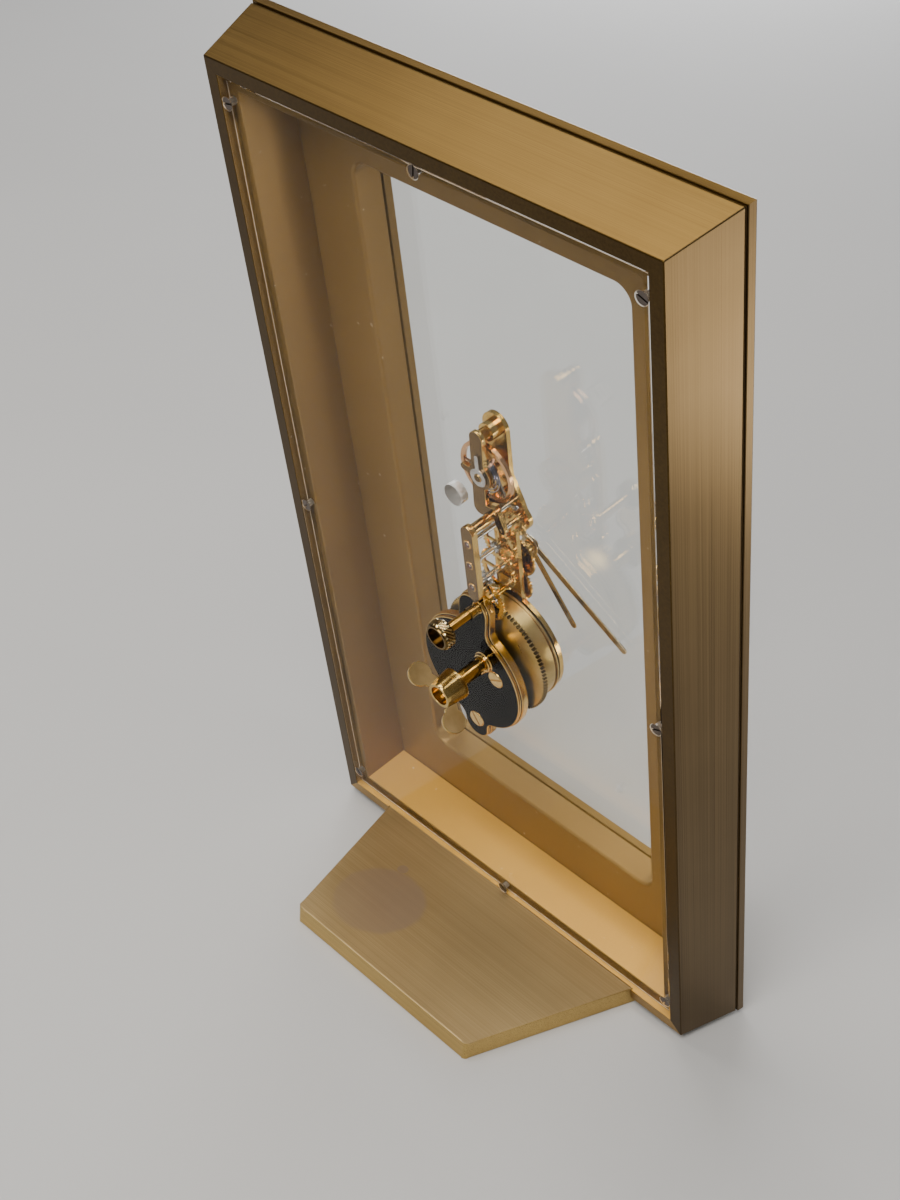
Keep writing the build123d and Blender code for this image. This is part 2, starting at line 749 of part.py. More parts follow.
# Barrel: drum with the great wheel cut on its edge, closed by a lid
with BuildPart() as barrel_drum:
    with BuildSketch(at_depth(great_wheel_depth)):
        toothed(barrel_at, great_teeth, great_module, 90, wheel_form)
    extrude(amount=great_wheel_thickness)
    rod(drum_depth, lid_depth, barrel_at, drum_radius)
    rod(drum_depth, lid_depth, barrel_at, drum_radius - drum_wall, Mode.SUBTRACT)
    with BuildSketch(at_depth(drum_depth)):
        hook_inside = mainspring_outer + mainspring_strip / 2
        hook_outside = drum_radius - drum_wall / 2
        with Locations(((hook_inside + hook_outside) / 2, barrel_height - mainspring_strip)):
            Rectangle(hook_outside - hook_inside, 2 * mainspring_strip)
    extrude(amount=drum_length)
    rod(great_wheel_depth, drum_depth, barrel_at, arbor_radius + running_gap, Mode.SUBTRACT)
barrel_drum.part.label = "barrel_drum"
export_step(barrel_drum.part, "parts/barrel_drum.step")

with BuildPart() as barrel_lid:
    rod(lid_depth, lid_depth + lid_groove, barrel_at, drum_radius - lid_groove)
    rod(lid_depth + lid_groove, lid_depth + lid_thickness, barrel_at, lid_radius)
    rod(lid_depth, lid_depth + lid_thickness, barrel_at, arbor_radius + running_gap, Mode.SUBTRACT)
barrel_lid.part.label = "barrel_lid"
export_step(barrel_lid.part, "parts/barrel_lid.step")

with BuildPart() as mainspring:
    mainspring_gap = spiral(drum_depth + drum_length / 2, barrel_at, mainspring_inner,
                            mainspring_pitch, mainspring_turns, mainspring_strip,
                            drum_length - 2 * mainspring_end_gap)
mainspring.part.label = "mainspring"
export_step(mainspring.part, "parts/mainspring.step")
print("mainspring least gap", round(mainspring_gap, 3))

# Barrel arbor: hub in the drum, rear shaft for the key, front pivot for the ratchet
with BuildPart() as barrel_arbor:
    rod(-key_start, plate_depth - fit_gap, barrel_at, arbor_radius)
    rod(drum_depth + fit_gap, lid_depth - fit_gap, barrel_at, arbor_hub_radius)
    rod(plate_depth - fit_gap, ratchet_end + front_wheel_gap, barrel_at, arbor_pivot_radius)
barrel_arbor.part.label = "barrel_arbor"
export_step(barrel_arbor.part, "parts/barrel_arbor.step")

with BuildPart() as ratchet_wheel:
    with BuildSketch(at_depth(front_wheel_depth)):
        toothed(barrel_at, ratchet_teeth, 2 * ratchet_radius / ratchet_teeth, 0, ratchet_form)
        with Locations(barrel_at):
            Circle(arbor_pivot_radius, mode=Mode.SUBTRACT)
    extrude(amount=ratchet_thickness)
ratchet_wheel.part.label = "ratchet_wheel"
export_step(ratchet_wheel.part, "parts/ratchet_wheel.step")

with BuildPart() as click:
    with BuildSketch(at_depth(front_wheel_depth)):
        link(click_pivot, click_tip, click_width)
        with Locations(click_pivot):
            Circle(click_width)
            Circle(wheel_arbor_radius + running_gap, mode=Mode.SUBTRACT)
    extrude(amount=ratchet_thickness)
click.part.label = "click"
export_step(click.part, "parts/click.step")

# Winding key: hollow cone with two flat lobed wings in the plane of the axis
key_rear = key_start + key_length
wing_turn = math.radians(key_wing_angle)
wing_normal = (-math.sin(wing_turn), math.cos(wing_turn) * lean_sine, math.cos(wing_turn) * lean_cosine)
wing_across = (math.cos(wing_turn), math.sin(wing_turn) * lean_sine, math.sin(wing_turn) * lean_cosine)
key_origin = at_depth(0).from_local_coords((0, barrel_height, 0))
key_plane = Plane(origin=key_origin, x_dir=wing_across, z_dir=wing_normal)
rearward = 1 if key_plane.y_dir.dot(at_depth(0).z_dir) < 0 else -1
with BuildPart() as winding_key:
    with BuildSketch(at_depth(-key_start)):
        with Locations(barrel_at):
            Circle(key_front_radius)
    with BuildSketch(at_depth(-key_rear)):
        with Locations(barrel_at):
            Circle(key_rear_radius)
    loft()
    with BuildSketch(key_plane) as wings:
        lobe_depth = rearward * (key_rear + key_wing_overhang)
        for side in (-1, 1):
            lobe = (side * key_wing_reach, lobe_depth)
            link((0, rearward * (key_start + key_waist)), lobe, key_waist)
            with Locations(lobe):
                Circle(key_lobe_radius)
    extrude(amount=key_wing_thickness / 2, both=True)
    rod(-key_rear - key_lobe_radius, -key_rear, barrel_at, key_rear_radius, Mode.SUBTRACT)
    rod(-key_rear, -key_rear + key_socket_depth, barrel_at, key_socket_radius, Mode.SUBTRACT)
winding_key.part.label = "winding_key"
export_step(winding_key.part, "parts/winding_key.step")

# Going train
with BuildPart() as intermediate_wheel:
    spoked_wheel(intermediate_wheel_depth, wheel_thickness, setting_at, intermediate_teeth,
                 intermediate_module, up, wheel_form, spokes)
    rod(intermediate_wheel_depth, great_wheel_depth, setting_at, pinion_root(great_leaves, great_module))
    rod(intermediate_wheel_depth, great_wheel_depth - pinion_overrun, setting_at, 2 * stem_front_radius)
    pinion(great_wheel_depth, great_wheel_thickness, setting_at, great_leaves, great_module,
           gap_phase(-up, great_leaves))
    rod(intermediate_wheel_depth, drum_depth + pinion_overrun, setting_at, stem_front_radius + running_gap,
        Mode.SUBTRACT)
intermediate_wheel.part.label = "intermediate_wheel"
export_step(intermediate_wheel.part, "parts/intermediate_wheel.step")

with BuildPart() as centre_wheel:
    spoked_wheel(centre_wheel_depth, wheel_thickness, centre_at, centre_teeth, train_module, up,
                 wheel_form, spokes)
    pinion(intermediate_wheel_depth, wheel_thickness, centre_at, intermediate_leaves, intermediate_module,
           gap_phase(-up, intermediate_leaves))
    rod(bar_depth, bar_front + fit_gap, centre_at, pivot_radius)
    rod(bar_front + fit_gap, plate_front + fit_gap, centre_at, centre_arbor_radius)
    rod(plate_front + fit_gap, minute_hand_depth, centre_at, cannon_arbor_radius)
centre_wheel.part.label = "centre_wheel"
export_step(centre_wheel.part, "parts/centre_wheel.step")

with BuildPart() as third_wheel:
    spoked_wheel(third_wheel_depth, wheel_thickness, third_at, third_teeth, train_module, up,
                 wheel_form, spokes)
    pinion(centre_wheel_depth, wheel_thickness, third_at, centre_leaves, train_module,
           gap_phase(-up, centre_leaves))
    rod(bar_depth, plate_front, third_at, pivot_radius)
    rod(bar_front + fit_gap, plate_depth - fit_gap, third_at, wheel_arbor_radius)
third_wheel.part.label = "third_wheel"
export_step(third_wheel.part, "parts/third_wheel.step")

with BuildPart() as fourth_wheel:
    spoked_wheel(front_wheel_depth, wheel_thickness, fourth_at, fourth_teeth, fourth_module, escape_angle,
                 wheel_form, spokes)
    pinion(third_wheel_depth, wheel_thickness, fourth_at, third_leaves, train_module,
           gap_phase(-up, third_leaves))
    rod(bar_depth, bar_front + fit_gap, fourth_at, pivot_radius)
    rod(bar_front + fit_gap, front_wheel_depth + wheel_thickness + fit_gap, fourth_at, wheel_arbor_radius)
fourth_wheel.part.label = "fourth_wheel"
export_step(fourth_wheel.part, "parts/fourth_wheel.step")

with BuildPart() as escape_wheel:
    spoked_wheel(escape_depth, escape_thickness, escape_at, escape_teeth, 2 * escape_radius / escape_teeth,
                 pallet_angle, escape_form, spokes)
    pinion(front_wheel_depth, wheel_thickness, escape_at, fourth_leaves, fourth_module,
           gap_phase(escape_angle + 180, fourth_leaves))
    rod(cock_depth, cock_front + fit_gap, escape_at, pivot_radius)
    rod(cock_front + fit_gap, front_wheel_depth, escape_at, wheel_arbor_radius)
escape_wheel.part.label = "escape_wheel"
export_step(escape_wheel.part, "parts/escape_wheel.step")

# Pallet lever: two arms with stones that stand clear of the tooth tips, and a fork towards the balance
stone_radius = escape_radius + pallet_gap
fork_run = math.hypot(balance_at[0] - pallet_at[0], balance_at[1] - pallet_at[1])
fork_angle = math.degrees(math.atan2(balance_at[1] - pallet_at[1], balance_at[0] - pallet_at[0]))
fork_end = polar(pallet_at, fork_run - impulse_radius - fork_gap, fork_angle)
with BuildPart() as pallet_lever:
    with BuildSketch(at_depth(escape_depth)):
        for side in (-1, 1):
            angle = pallet_angle + side * stone_spread
            with Locations(Location((*polar(escape_at, stone_radius + stone_length / 2, angle), 0), angle)):
                Rectangle(stone_length, stone_width)
            link(polar(escape_at, stone_radius + stone_length, angle), pallet_at, arm_width)
        link(pallet_at, fork_end, arm_width)
        for side in (-1, 1):
            tine = polar(fork_end, tine_length, fork_angle + side * tine_angle)
            link(fork_end, tine, arm_width / 2)
    extrude(amount=escape_thickness)
    rod(cock_depth, plate_front, pallet_at, pivot_radius)
    rod(cock_front + fit_gap, plate_depth - fit_gap, pallet_at, wheel_arbor_radius)
pallet_lever.part.label = "pallet_lever"
export_step(pallet_lever.part, "parts/pallet_lever.step")

# Balance: rim on three arms, staff, collet, roller and impulse pin
roller_depth = balance_depth + balance_rim_thickness + roller_gap
spoke_depth = balance_depth + balance_spoke_inset
impulse_at = polar(balance_at, impulse_radius, fork_angle + 180)
with BuildPart() as balance_wheel:
    with BuildSketch(at_depth(balance_depth)):
        with Locations(balance_at):
            Circle(balance_radius)
            Circle(balance_radius - balance_rim, mode=Mode.SUBTRACT)
    extrude(amount=balance_rim_thickness)
    with BuildSketch(at_depth(spoke_depth)):
        with Locations(balance_at):
            Circle(wheel_hub_radius)
            with PolarLocations((balance_radius - balance_rim / 2) / 2, 3):
                Rectangle(balance_radius - balance_rim / 2, balance_spoke_width)
    extrude(amount=wheel_thickness)
    rod(cock_depth, plate_front, balance_at, pivot_radius)
    rod(cock_front + fit_gap, plate_depth - fit_gap, balance_at, wheel_arbor_radius)
    rod(cock_front + fit_gap, spoke_depth, balance_at, collet_radius)
    rod(roller_depth, roller_depth + roller_thickness, balance_at, roller_radius)
    rod(roller_depth, escape_depth - impulse_pin_gap, impulse_at, impulse_pin_radius)
balance_wheel.part.label = "balance_wheel"
export_step(balance_wheel.part, "parts/balance_wheel.step")

# Hairspring between the collet and the stud under the cock
spring_depth = (cock_front + balance_depth) / 2
with BuildPart() as hairspring:
    hairspring_gap = spiral(spring_depth, balance_at, spring_inner_radius, spring_pitch, spring_turns,
                            spring_strip, spring_height)
hairspring.part.label = "hairspring"
export_step(hairspring.part, "parts/hairspring.step")
print("hairspring least gap", round(hairspring_gap, 3))

with BuildPart() as hairspring_stud:
    with BuildSketch(at_depth(cock_front)):
        with Locations(stud_at):
            Rectangle(stud_size, stud_size)
    extrude(amount=spring_depth + spring_height / 2 - cock_front)
hairspring_stud.part.label = "hairspring_stud"
export_step(hairspring_stud.part, "parts/hairspring_stud.step")

# Regulator index on the rear of the cock
with BuildPart() as regulator_index:
    with BuildSketch(at_depth(cock_depth - index_thickness)):
        with Locations(balance_at):
            Circle(index_ring_radius)
        link(balance_at, (balance_at[0], balance_at[1] + index_tail), index_tail_width)
        with Locations(balance_at):
            Circle(index_boss_radius + running_gap, mode=Mode.SUBTRACT)
    extrude(amount=index_thickness)
regulator_index.part.label = "regulator_index"
export_step(regulator_index.part, "parts/regulator_index.step")

# Hand setting: stem through the intermediate pinion's pipe, knurled knob, minute wheel
minute_pinion_end = hour_wheel_depth + wheel_thickness + pinion_overrun
with BuildPart() as setting_stem:
    rod(-knob_start, bridge_front, setting_at, stem_radius)
    rod(bridge_front, minute_pinion_end, setting_at, stem_front_radius)
setting_stem.part.label = "setting_stem"
export_step(setting_stem.part, "parts/setting_stem.step")

knob_rear = -knob_start - knob_length
with BuildPart() as setting_knob:
    rod(knob_rear, -knob_start, setting_at, knob_radius)
    rod(knob_rear, knob_rear + knob_recess_depth, setting_at, knob_recess_radius, Mode.SUBTRACT)
setting_knob.part.label = "setting_knob"
export_step(setting_knob.part, "parts/setting_knob.step")

with BuildPart() as minute_wheel:
    with BuildSketch(at_depth(front_wheel_depth)):
        toothed(setting_at, minute_teeth, minute_module, up, wheel_form)
    extrude(amount=wheel_thickness)
    rod(front_wheel_depth, hour_wheel_depth, setting_at, pinion_root(hour_leaves, hour_module))
    pinion(hour_wheel_depth, wheel_thickness, setting_at, hour_leaves, hour_module,
           gap_phase(up, hour_leaves))
    rod(front_wheel_depth, minute_pinion_end, setting_at, stem_front_radius, Mode.SUBTRACT)
minute_wheel.part.label = "minute_wheel"
export_step(minute_wheel.part, "parts/minute_wheel.step")

with BuildPart() as cannon_pinion:
    pinion(front_wheel_depth, wheel_thickness, centre_at, minute_leaves, minute_module,
           gap_phase(-up, minute_leaves))
    rod(front_wheel_depth, cannon_end, centre_at, cannon_pipe_radius)
    rod(front_wheel_depth - pinion_overrun, cannon_end, centre_at, cannon_arbor_radius + running_gap,
        Mode.SUBTRACT)
cannon_pinion.part.label = "cannon_pinion"
export_step(cannon_pinion.part, "parts/cannon_pinion.step")

with BuildPart() as hour_wheel:
    with BuildSketch(at_depth(hour_wheel_depth)):
        toothed(centre_at, hour_teeth, hour_module, -up, wheel_form)
    extrude(amount=wheel_thickness)
    rod(hour_wheel_depth, hour_pipe_end, centre_at, hour_pipe_radius)
    rod(hour_wheel_depth, hour_pipe_end, centre_at, cannon_pipe_radius + running_gap, Mode.SUBTRACT)
hour_wheel.part.label = "hour_wheel"
export_step(hour_wheel.part, "parts/hour_wheel.step")


def hand_outline(length, hub_radius, bore_radius, angle):
    """A straight baton hand with a ring hub and a short tail, pointing to a clock angle."""
    direction = 90 - angle
    tip = polar(centre_at, length - hand_width / 2, direction)
    link(polar(centre_at, -hand_tail, direction), tip, hand_width)
    with Locations(centre_at):
        Circle(hub_radius)
        Circle(bore_radius, mode=Mode.SUBTRACT)


with BuildPart() as minute_hand:
    with BuildSketch(at_depth(minute_hand_depth)):
        hand_outline(minute_hand_length, minute_hub_radius, cannon_pipe_radius, minute_hand_angle)
    extrude(amount=hand_thickness)
minute_hand.part.label = "minute_hand"
export_step(minute_hand.part, "parts/minute_hand.step")

with BuildPart() as hour_hand:
    with BuildSketch(at_depth(hour_hand_depth)):
        hand_outline(hour_hand_length, hour_hub_radius, hour_pipe_radius, hour_hand_angle)
    extrude(amount=hand_thickness)
hour_hand.part.label = "hour_hand"
export_step(hour_hand.part, "parts/hour_hand.step")
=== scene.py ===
import bpy
import json
import math
from mathutils import Matrix, Vector

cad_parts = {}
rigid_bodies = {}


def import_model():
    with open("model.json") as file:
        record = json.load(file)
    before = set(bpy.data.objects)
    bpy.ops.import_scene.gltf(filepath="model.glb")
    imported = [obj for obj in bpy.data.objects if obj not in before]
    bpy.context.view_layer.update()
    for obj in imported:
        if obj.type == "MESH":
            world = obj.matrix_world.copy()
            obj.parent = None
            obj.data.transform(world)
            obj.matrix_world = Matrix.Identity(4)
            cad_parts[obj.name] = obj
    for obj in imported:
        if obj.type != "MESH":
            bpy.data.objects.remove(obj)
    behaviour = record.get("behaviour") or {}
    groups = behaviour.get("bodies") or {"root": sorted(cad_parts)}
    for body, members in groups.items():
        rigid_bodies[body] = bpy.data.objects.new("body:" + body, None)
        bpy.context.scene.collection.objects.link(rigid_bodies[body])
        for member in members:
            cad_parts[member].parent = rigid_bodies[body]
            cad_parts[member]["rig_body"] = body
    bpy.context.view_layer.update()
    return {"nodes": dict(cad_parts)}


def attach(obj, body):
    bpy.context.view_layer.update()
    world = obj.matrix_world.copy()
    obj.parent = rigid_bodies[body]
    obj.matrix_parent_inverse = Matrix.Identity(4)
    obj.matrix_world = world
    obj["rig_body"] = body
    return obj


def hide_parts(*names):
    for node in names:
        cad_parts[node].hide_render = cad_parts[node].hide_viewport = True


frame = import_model()
nodes = frame["nodes"]
print("frame loaded:", len(nodes), "nodes")

mm = 0.001

# the leaning case has a frame of its own: x across, y up the case, z from the rear rim to the front
caseFrame = {"lean": math.radians(12.3), "rimY": -13.1472 * mm, "footGap": 1.87 * mm, "middle": 115.0 * mm,
             "halfWidth": 63.35 * mm, "halfHeight": 115.0 * mm}
leanSin, leanCos = math.sin(caseFrame["lean"]), math.cos(caseFrame["lean"])
caseMatrix = Matrix(((1, 0, 0, 0),
                     (0, leanSin, -leanCos, caseFrame["rimY"]),
                     (0, leanCos, leanSin, caseFrame["footGap"]),
                     (0, 0, 0, 1)))
caseInverse = caseMatrix.inverted()
turnIn = caseInverse.to_3x3()  # turns a direction into the case's frame
turnOut = caseMatrix.to_3x3()

# copies of machined nodes: points within merge are joined, faces within flatTurn degrees become one,
# a fold of more than crease degrees is an edge, and on a flat piece only edges over longEdge are rounded
refining = {"merge": 0.002 * mm, "flatTurn": 0.3, "crease": 35, "longEdge": 15 * mm}


def clearSelection():
    if bpy.context.mode != "OBJECT":
        bpy.ops.object.mode_set(mode="OBJECT")
    bpy.ops.object.select_all(action="DESELECT")


def makeActive(piece):
    clearSelection()
    piece.select_set(True)
    bpy.context.view_layer.objects.active = piece


# leaves the piece in edit mode, with only the points, edges or faces selected that the rule picks
def selectParts(piece, kind, rule):
    makeActive(piece)
    bpy.ops.object.mode_set(mode="EDIT")
    bpy.ops.mesh.select_mode(type=kind)
    bpy.ops.mesh.select_all(action="DESELECT")
    bpy.ops.object.mode_set(mode="OBJECT")
    parts = {"VERT": piece.data.vertices, "EDGE": piece.data.edges, "FACE": piece.data.polygons}
    for part in parts[kind]:
        part.select = rule(part)
    bpy.ops.object.mode_set(mode="EDIT")


def applyModifier(piece, kind, settings):
    makeActive(piece)
    modifier = piece.modifiers.new(kind.title(), kind)
    for key, value in settings.items():
        setattr(modifier, key, value)
    bpy.ops.object.modifier_apply(modifier=modifier.name)


def smoothPiece(piece, crease=refining["crease"]):
    makeActive(piece)
    bpy.ops.object.shade_smooth_by_angle(angle=math.radians(crease))
    applyModifier(piece, "WEIGHTED_NORMAL", {"mode": "FACE_AREA", "weight": 100, "keep_sharp": True})


def roundEdges(piece, width, segments):
    applyModifier(piece, "BEVEL", {"width": width, "segments": segments, "limit_method": "ANGLE",
                                   "angle_limit": math.radians(refining["crease"]),
                                   "use_clamp_overlap": True})


# rounds only the long sharp edges, so that small holes stay as drilled
def roundLongEdges(piece, width, segments):
    beside = {}
    for face in piece.data.polygons:
        for key in face.edge_keys:
            beside.setdefault(key, []).append(face.normal.copy())

    def longAndSharp(edge):
        start, end = [piece.data.vertices[index].co for index in edge.vertices]
        if (start - end).length <= refining["longEdge"]:
            return False
        normals = beside[edge.key]
        return normals[0].angle(normals[-1]) > math.radians(refining["crease"])

    selectParts(piece, "EDGE", longAndSharp)
    bpy.ops.mesh.bevel(offset=width, segments=segments, profile=0.5, affect="EDGES", clamp_overlap=False)
    bpy.ops.object.mode_set(mode="OBJECT")


# a merged copy that stands for a machined node, with rounded edges; a flat piece keeps flat faces
def refineNode(nodeName, pieceName, edge=0.0, segments=2, flat=False, reshape=None):
    source = nodes[nodeName]
    piece = bpy.data.objects.new(pieceName, source.data.copy())
    bpy.context.scene.collection.objects.link(piece)
    piece.data.materials.clear()
    makeActive(piece)
    bpy.ops.object.mode_set(mode="EDIT")
    bpy.ops.mesh.select_all(action="SELECT")
    bpy.ops.mesh.remove_doubles(threshold=refining["merge"])
    if not flat:
        bpy.ops.mesh.dissolve_limited(angle_limit=math.radians(refining["flatTurn"]))
    bpy.ops.object.mode_set(mode="OBJECT")
    if piece.data.has_custom_normals:
        bpy.ops.mesh.customdata_custom_splitnormals_clear()
    if reshape:
        for vertex in piece.data.vertices:
            vertex.co = caseMatrix @ reshape(caseInverse @ vertex.co)
    if flat:
        roundLongEdges(piece, edge, segments)
        makeActive(piece)
        bpy.ops.object.shade_flat()
    else:
        if edge:
            roundEdges(piece, edge, segments)
        smoothPiece(piece)
    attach(piece, source["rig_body"])
    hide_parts(nodeName)
    return piece


# gives each face the look that the rule names for its centre and normal in the case's frame
def paintFaces(piece, lookNames, rule):
    for name in lookNames:
        piece.data.materials.append(looks[name])
    for face in piece.data.polygons:
        face.material_index = lookNames.index(rule(caseInverse @ face.center, turnIn @ face.normal))


# noise by use: scale, detail and roughness
grains = {"brushLines": (1.0, 5.0, 0.65), "brushStreaks": (1.0, 3.0, 0.6), "brushClouds": (22.0, 3.0, 0.5),
          "polishHaze": (260.0, 4.0, 0.6), "polishFine": (2340.0, 2.0, 0.5), "paintFlake": (2600.0, 2.0, 0.6),
          "paintClouds": (26.0, 4.0, 0.55), "paintSpecks": (520.0, 2.0, 0.5), "sheetSmear": (34.0, 5.0, 0.6),
          "sawnEdge": (700.0, 4.0, 0.6), "knobHaze": (400.0, 4.0, 0.6), "jewelDepth": (900.0, 2.0, 0.5),
          "stainEdge": (190.0, 4.0, 0.6), "floorPaper": (6.0, 4.0, 0.5)}
noiseReach = (0.25, 0.75)  # most noise values lie between these
white = (1.0, 1.0, 1.0)


def newLook(name):
    look = bpy.data.materials.new(name)
    look.use_nodes = True
    return look, look.node_tree, look.node_tree.nodes["Principled BSDF"]


def addNode(tree, kind, settings=None, inputs=None):
    node = tree.nodes.new(kind)
    for key, value in (settings or {}).items():
        setattr(node, key, value)
    for key, value in (inputs or {}).items():
        node.inputs[key].default_value = value
    return node


# links a socket to another one, or sets it to a fixed value
def feed(tree, source, socket):
    if isinstance(source, bpy.types.NodeSocket):
        tree.links.new(source, socket)
    else:
        socket.default_value = source


# object coordinates turned so that z runs up the leaning case, then stretched
def caseCoordinates(tree, stretch=(1, 1, 1)):
    place = addNode(tree, "ShaderNodeTexCoord")
    turn = addNode(tree, "ShaderNodeVectorRotate", {"rotation_type": "X_AXIS"}, {"Angle": caseFrame["lean"]})
    grain = addNode(tree, "ShaderNodeMapping", None, {"Scale": stretch})
    tree.links.new(place.outputs["Object"], turn.inputs["Vector"])
    tree.links.new(turn.outputs["Vector"], grain.inputs["Vector"])
    return grain.outputs["Vector"]


def noise(tree, vector, grain):
    scale, detail, roughness = grains[grain]
    settings = {"Scale": scale, "Detail": detail, "Roughness": roughness}
    node = addNode(tree, "ShaderNodeTexNoise", None, settings)
    tree.links.new(vector, node.inputs["Vector"])
    return node.outputs["Fac"]


def ramp(tree, source, low, high, places=(0.3, 0.7)):
    node = addNode(tree, "ShaderNodeValToRGB")
    for element, place, tone in zip(node.color_ramp.elements, places, (low, high)):
        element.position = place
        element.color = (*tone, 1)
    tree.links.new(source, node.inputs["Fac"])
    return node.outputs["Color"]


def remap(tree, source, start, end, interpolation="LINEAR"):
    node = addNode(tree, "ShaderNodeMapRange", {"interpolation_type": interpolation},
                   {"From Min": start[0], "From Max": start[1], "To Min": end[0], "To Max": end[1]})
    tree.links.new(source, node.inputs["Value"])
    return node.outputs["Result"]


def mixColours(tree, factor, first, second, blend="MIX"):
    node = addNode(tree, "ShaderNodeMix", {"data_type": "RGBA", "blend_type": blend})
    feed(tree, factor, node.inputs[0])
    feed(tree, first, node.inputs[6])  # sockets 6 and 7 are the two colours
    feed(tree, second, node.inputs[7])
    return node.outputs[2]


# the outputs of a math node, on numbers or on vectors, with its inputs linked or set
def calculate(tree, kind, operation, *sources):
    node = addNode(tree, kind, {"operation": operation})
    for source, socket in zip(sources, node.inputs):
        feed(tree, source, socket)
    return node.outputs


def addBump(tree, shader, source, strength, distance):
    bump = addNode(tree, "ShaderNodeBump", None, {"Strength": strength, "Distance": distance})
    tree.links.new(source, bump.inputs["Height"])
    tree.links.new(bump.outputs["Normal"], shader.inputs["Normal"])


# brushed metal has fine lines, streaks some nine times broader and worn clouds
brushWear = {"linePlaces": (0.32, 0.68), "streakShare": 0.11, "streakTone": (0.92, 0.915, 0.90),
             "streakPlaces": (0.34, 0.66), "cloudTone": (0.82, 0.80, 0.76), "cloudPlaces": (0.3, 0.65),
             "depth": 0.04 * mm}


# the stretch is small along the lines and large across them
def brushedMetal(name, stretch, dark, light, rough, bump=0.12, metallic=1.0):
    look, tree, shader = newLook(name)
    streakStretch = tuple(brushWear["streakShare"] * part for part in stretch)
    lines = noise(tree, caseCoordinates(tree, stretch), "brushLines")
    streaks = noise(tree, caseCoordinates(tree, streakStretch), "brushStreaks")
    clouds = noise(tree, caseCoordinates(tree), "brushClouds")
    tone = ramp(tree, lines, dark, light, brushWear["linePlaces"])
    streakTone = ramp(tree, streaks, brushWear["streakTone"], white, brushWear["streakPlaces"])
    cloudTone = ramp(tree, clouds, brushWear["cloudTone"], white, brushWear["cloudPlaces"])
    streaked = mixColours(tree, 1.0, tone, streakTone, "MULTIPLY")
    tree.links.new(mixColours(tree, 1.0, streaked, cloudTone, "MULTIPLY"), shader.inputs["Base Color"])
    tree.links.new(remap(tree, lines, noiseReach, rough), shader.inputs["Roughness"])
    shader.inputs["Metallic"].default_value = metallic
    addBump(tree, shader, lines, bump, brushWear["depth"])
    return look


polishDepth = 0.02 * mm


# polished or turned metal with a faint haze and fine wear
def polishedMetal(name, dark, light, rough, bump=0.04, edgeTint=1.0):
    look, tree, shader = newLook(name)
    place = caseCoordinates(tree)
    haze = noise(tree, place, "polishHaze")
    fine = noise(tree, place, "polishFine")
    tree.links.new(ramp(tree, haze, dark, light), shader.inputs["Base Color"])
    tree.links.new(remap(tree, haze, noiseReach, rough), shader.inputs["Roughness"])
    shader.inputs["Metallic"].default_value = 1.0
    shader.inputs["Specular Tint"].default_value = (edgeTint, edgeTint, edgeTint, 1)
    addBump(tree, shader, fine, bump, polishDepth)
    return look


# satin gold paint: fine flake, broad tone and a little dust
paintGrain = {"flakeShare": 0.35, "flakePlaces": (0.35, 0.65), "speckNoise": (0.735, 0.78), "speckShare": 0.7,
              "rough": (0.36, 0.5), "gloss": 0.3, "bump": 0.10, "depth": 0.03 * mm}


def satinPaint(name, dark, light, dust, metallic):
    look, tree, shader = newLook(name)
    place = caseCoordinates(tree)
    flake = noise(tree, place, "paintFlake")
    clouds = noise(tree, place, "paintClouds")
    specks = noise(tree, place, "paintSpecks")
    flakeTone = ramp(tree, flake, dark, light, paintGrain["flakePlaces"])
    tone = mixColours(tree, paintGrain["flakeShare"], ramp(tree, clouds, dark, light), flakeTone)
    speckMask = remap(tree, specks, paintGrain["speckNoise"], (0.0, paintGrain["speckShare"]))
    tree.links.new(mixColours(tree, speckMask, tone, (*dust, 1)), shader.inputs["Base Color"])
    tree.links.new(remap(tree, flake, noiseReach, paintGrain["rough"]), shader.inputs["Roughness"])
    shader.inputs["Metallic"].default_value = metallic
    shader.inputs["Specular IOR Level"].default_value = paintGrain["gloss"]
    addBump(tree, shader, flake, paintGrain["bump"], paintGrain["depth"])
    return look


smearLift = 1.02  # how much clearer a sheet is between its smears


# clear sheet with faint smears; the tint is what it takes from light passing through
def clearSheet(name, tint, ior, rough):
    look, tree, shader = newLook(name)
    smear = noise(tree, caseCoordinates(tree), "sheetSmear")
    clearTint = tuple(min(1.0, smearLift * part) for part in tint)
    tree.links.new(ramp(tree, smear, tint, clearTint), shader.inputs["Base Color"])
    tree.links.new(remap(tree, smear, noiseReach, rough), shader.inputs["Roughness"])
    shader.inputs["Transmission Weight"].default_value = 1.0
    shader.inputs["IOR"].default_value = ior
    return look


# sawn or drilled faces of the clear sheets
sawnFace = {"rough": (0.30, 0.5), "ior": 1.12, "bump": 0.2, "depth": 0.05 * mm}


def cutAcrylic(name, dark, light, clearness):
    look, tree, shader = newLook(name)
    sawn = noise(tree, caseCoordinates(tree), "sawnEdge")
    tree.links.new(ramp(tree, sawn, dark, light), shader.inputs["Base Color"])
    tree.links.new(remap(tree, sawn, noiseReach, sawnFace["rough"]), shader.inputs["Roughness"])
    shader.inputs["Transmission Weight"].default_value = clearness
    shader.inputs["IOR"].default_value = sawnFace["ior"]
    addBump(tree, shader, sawn, sawnFace["bump"], sawnFace["depth"])
    return look


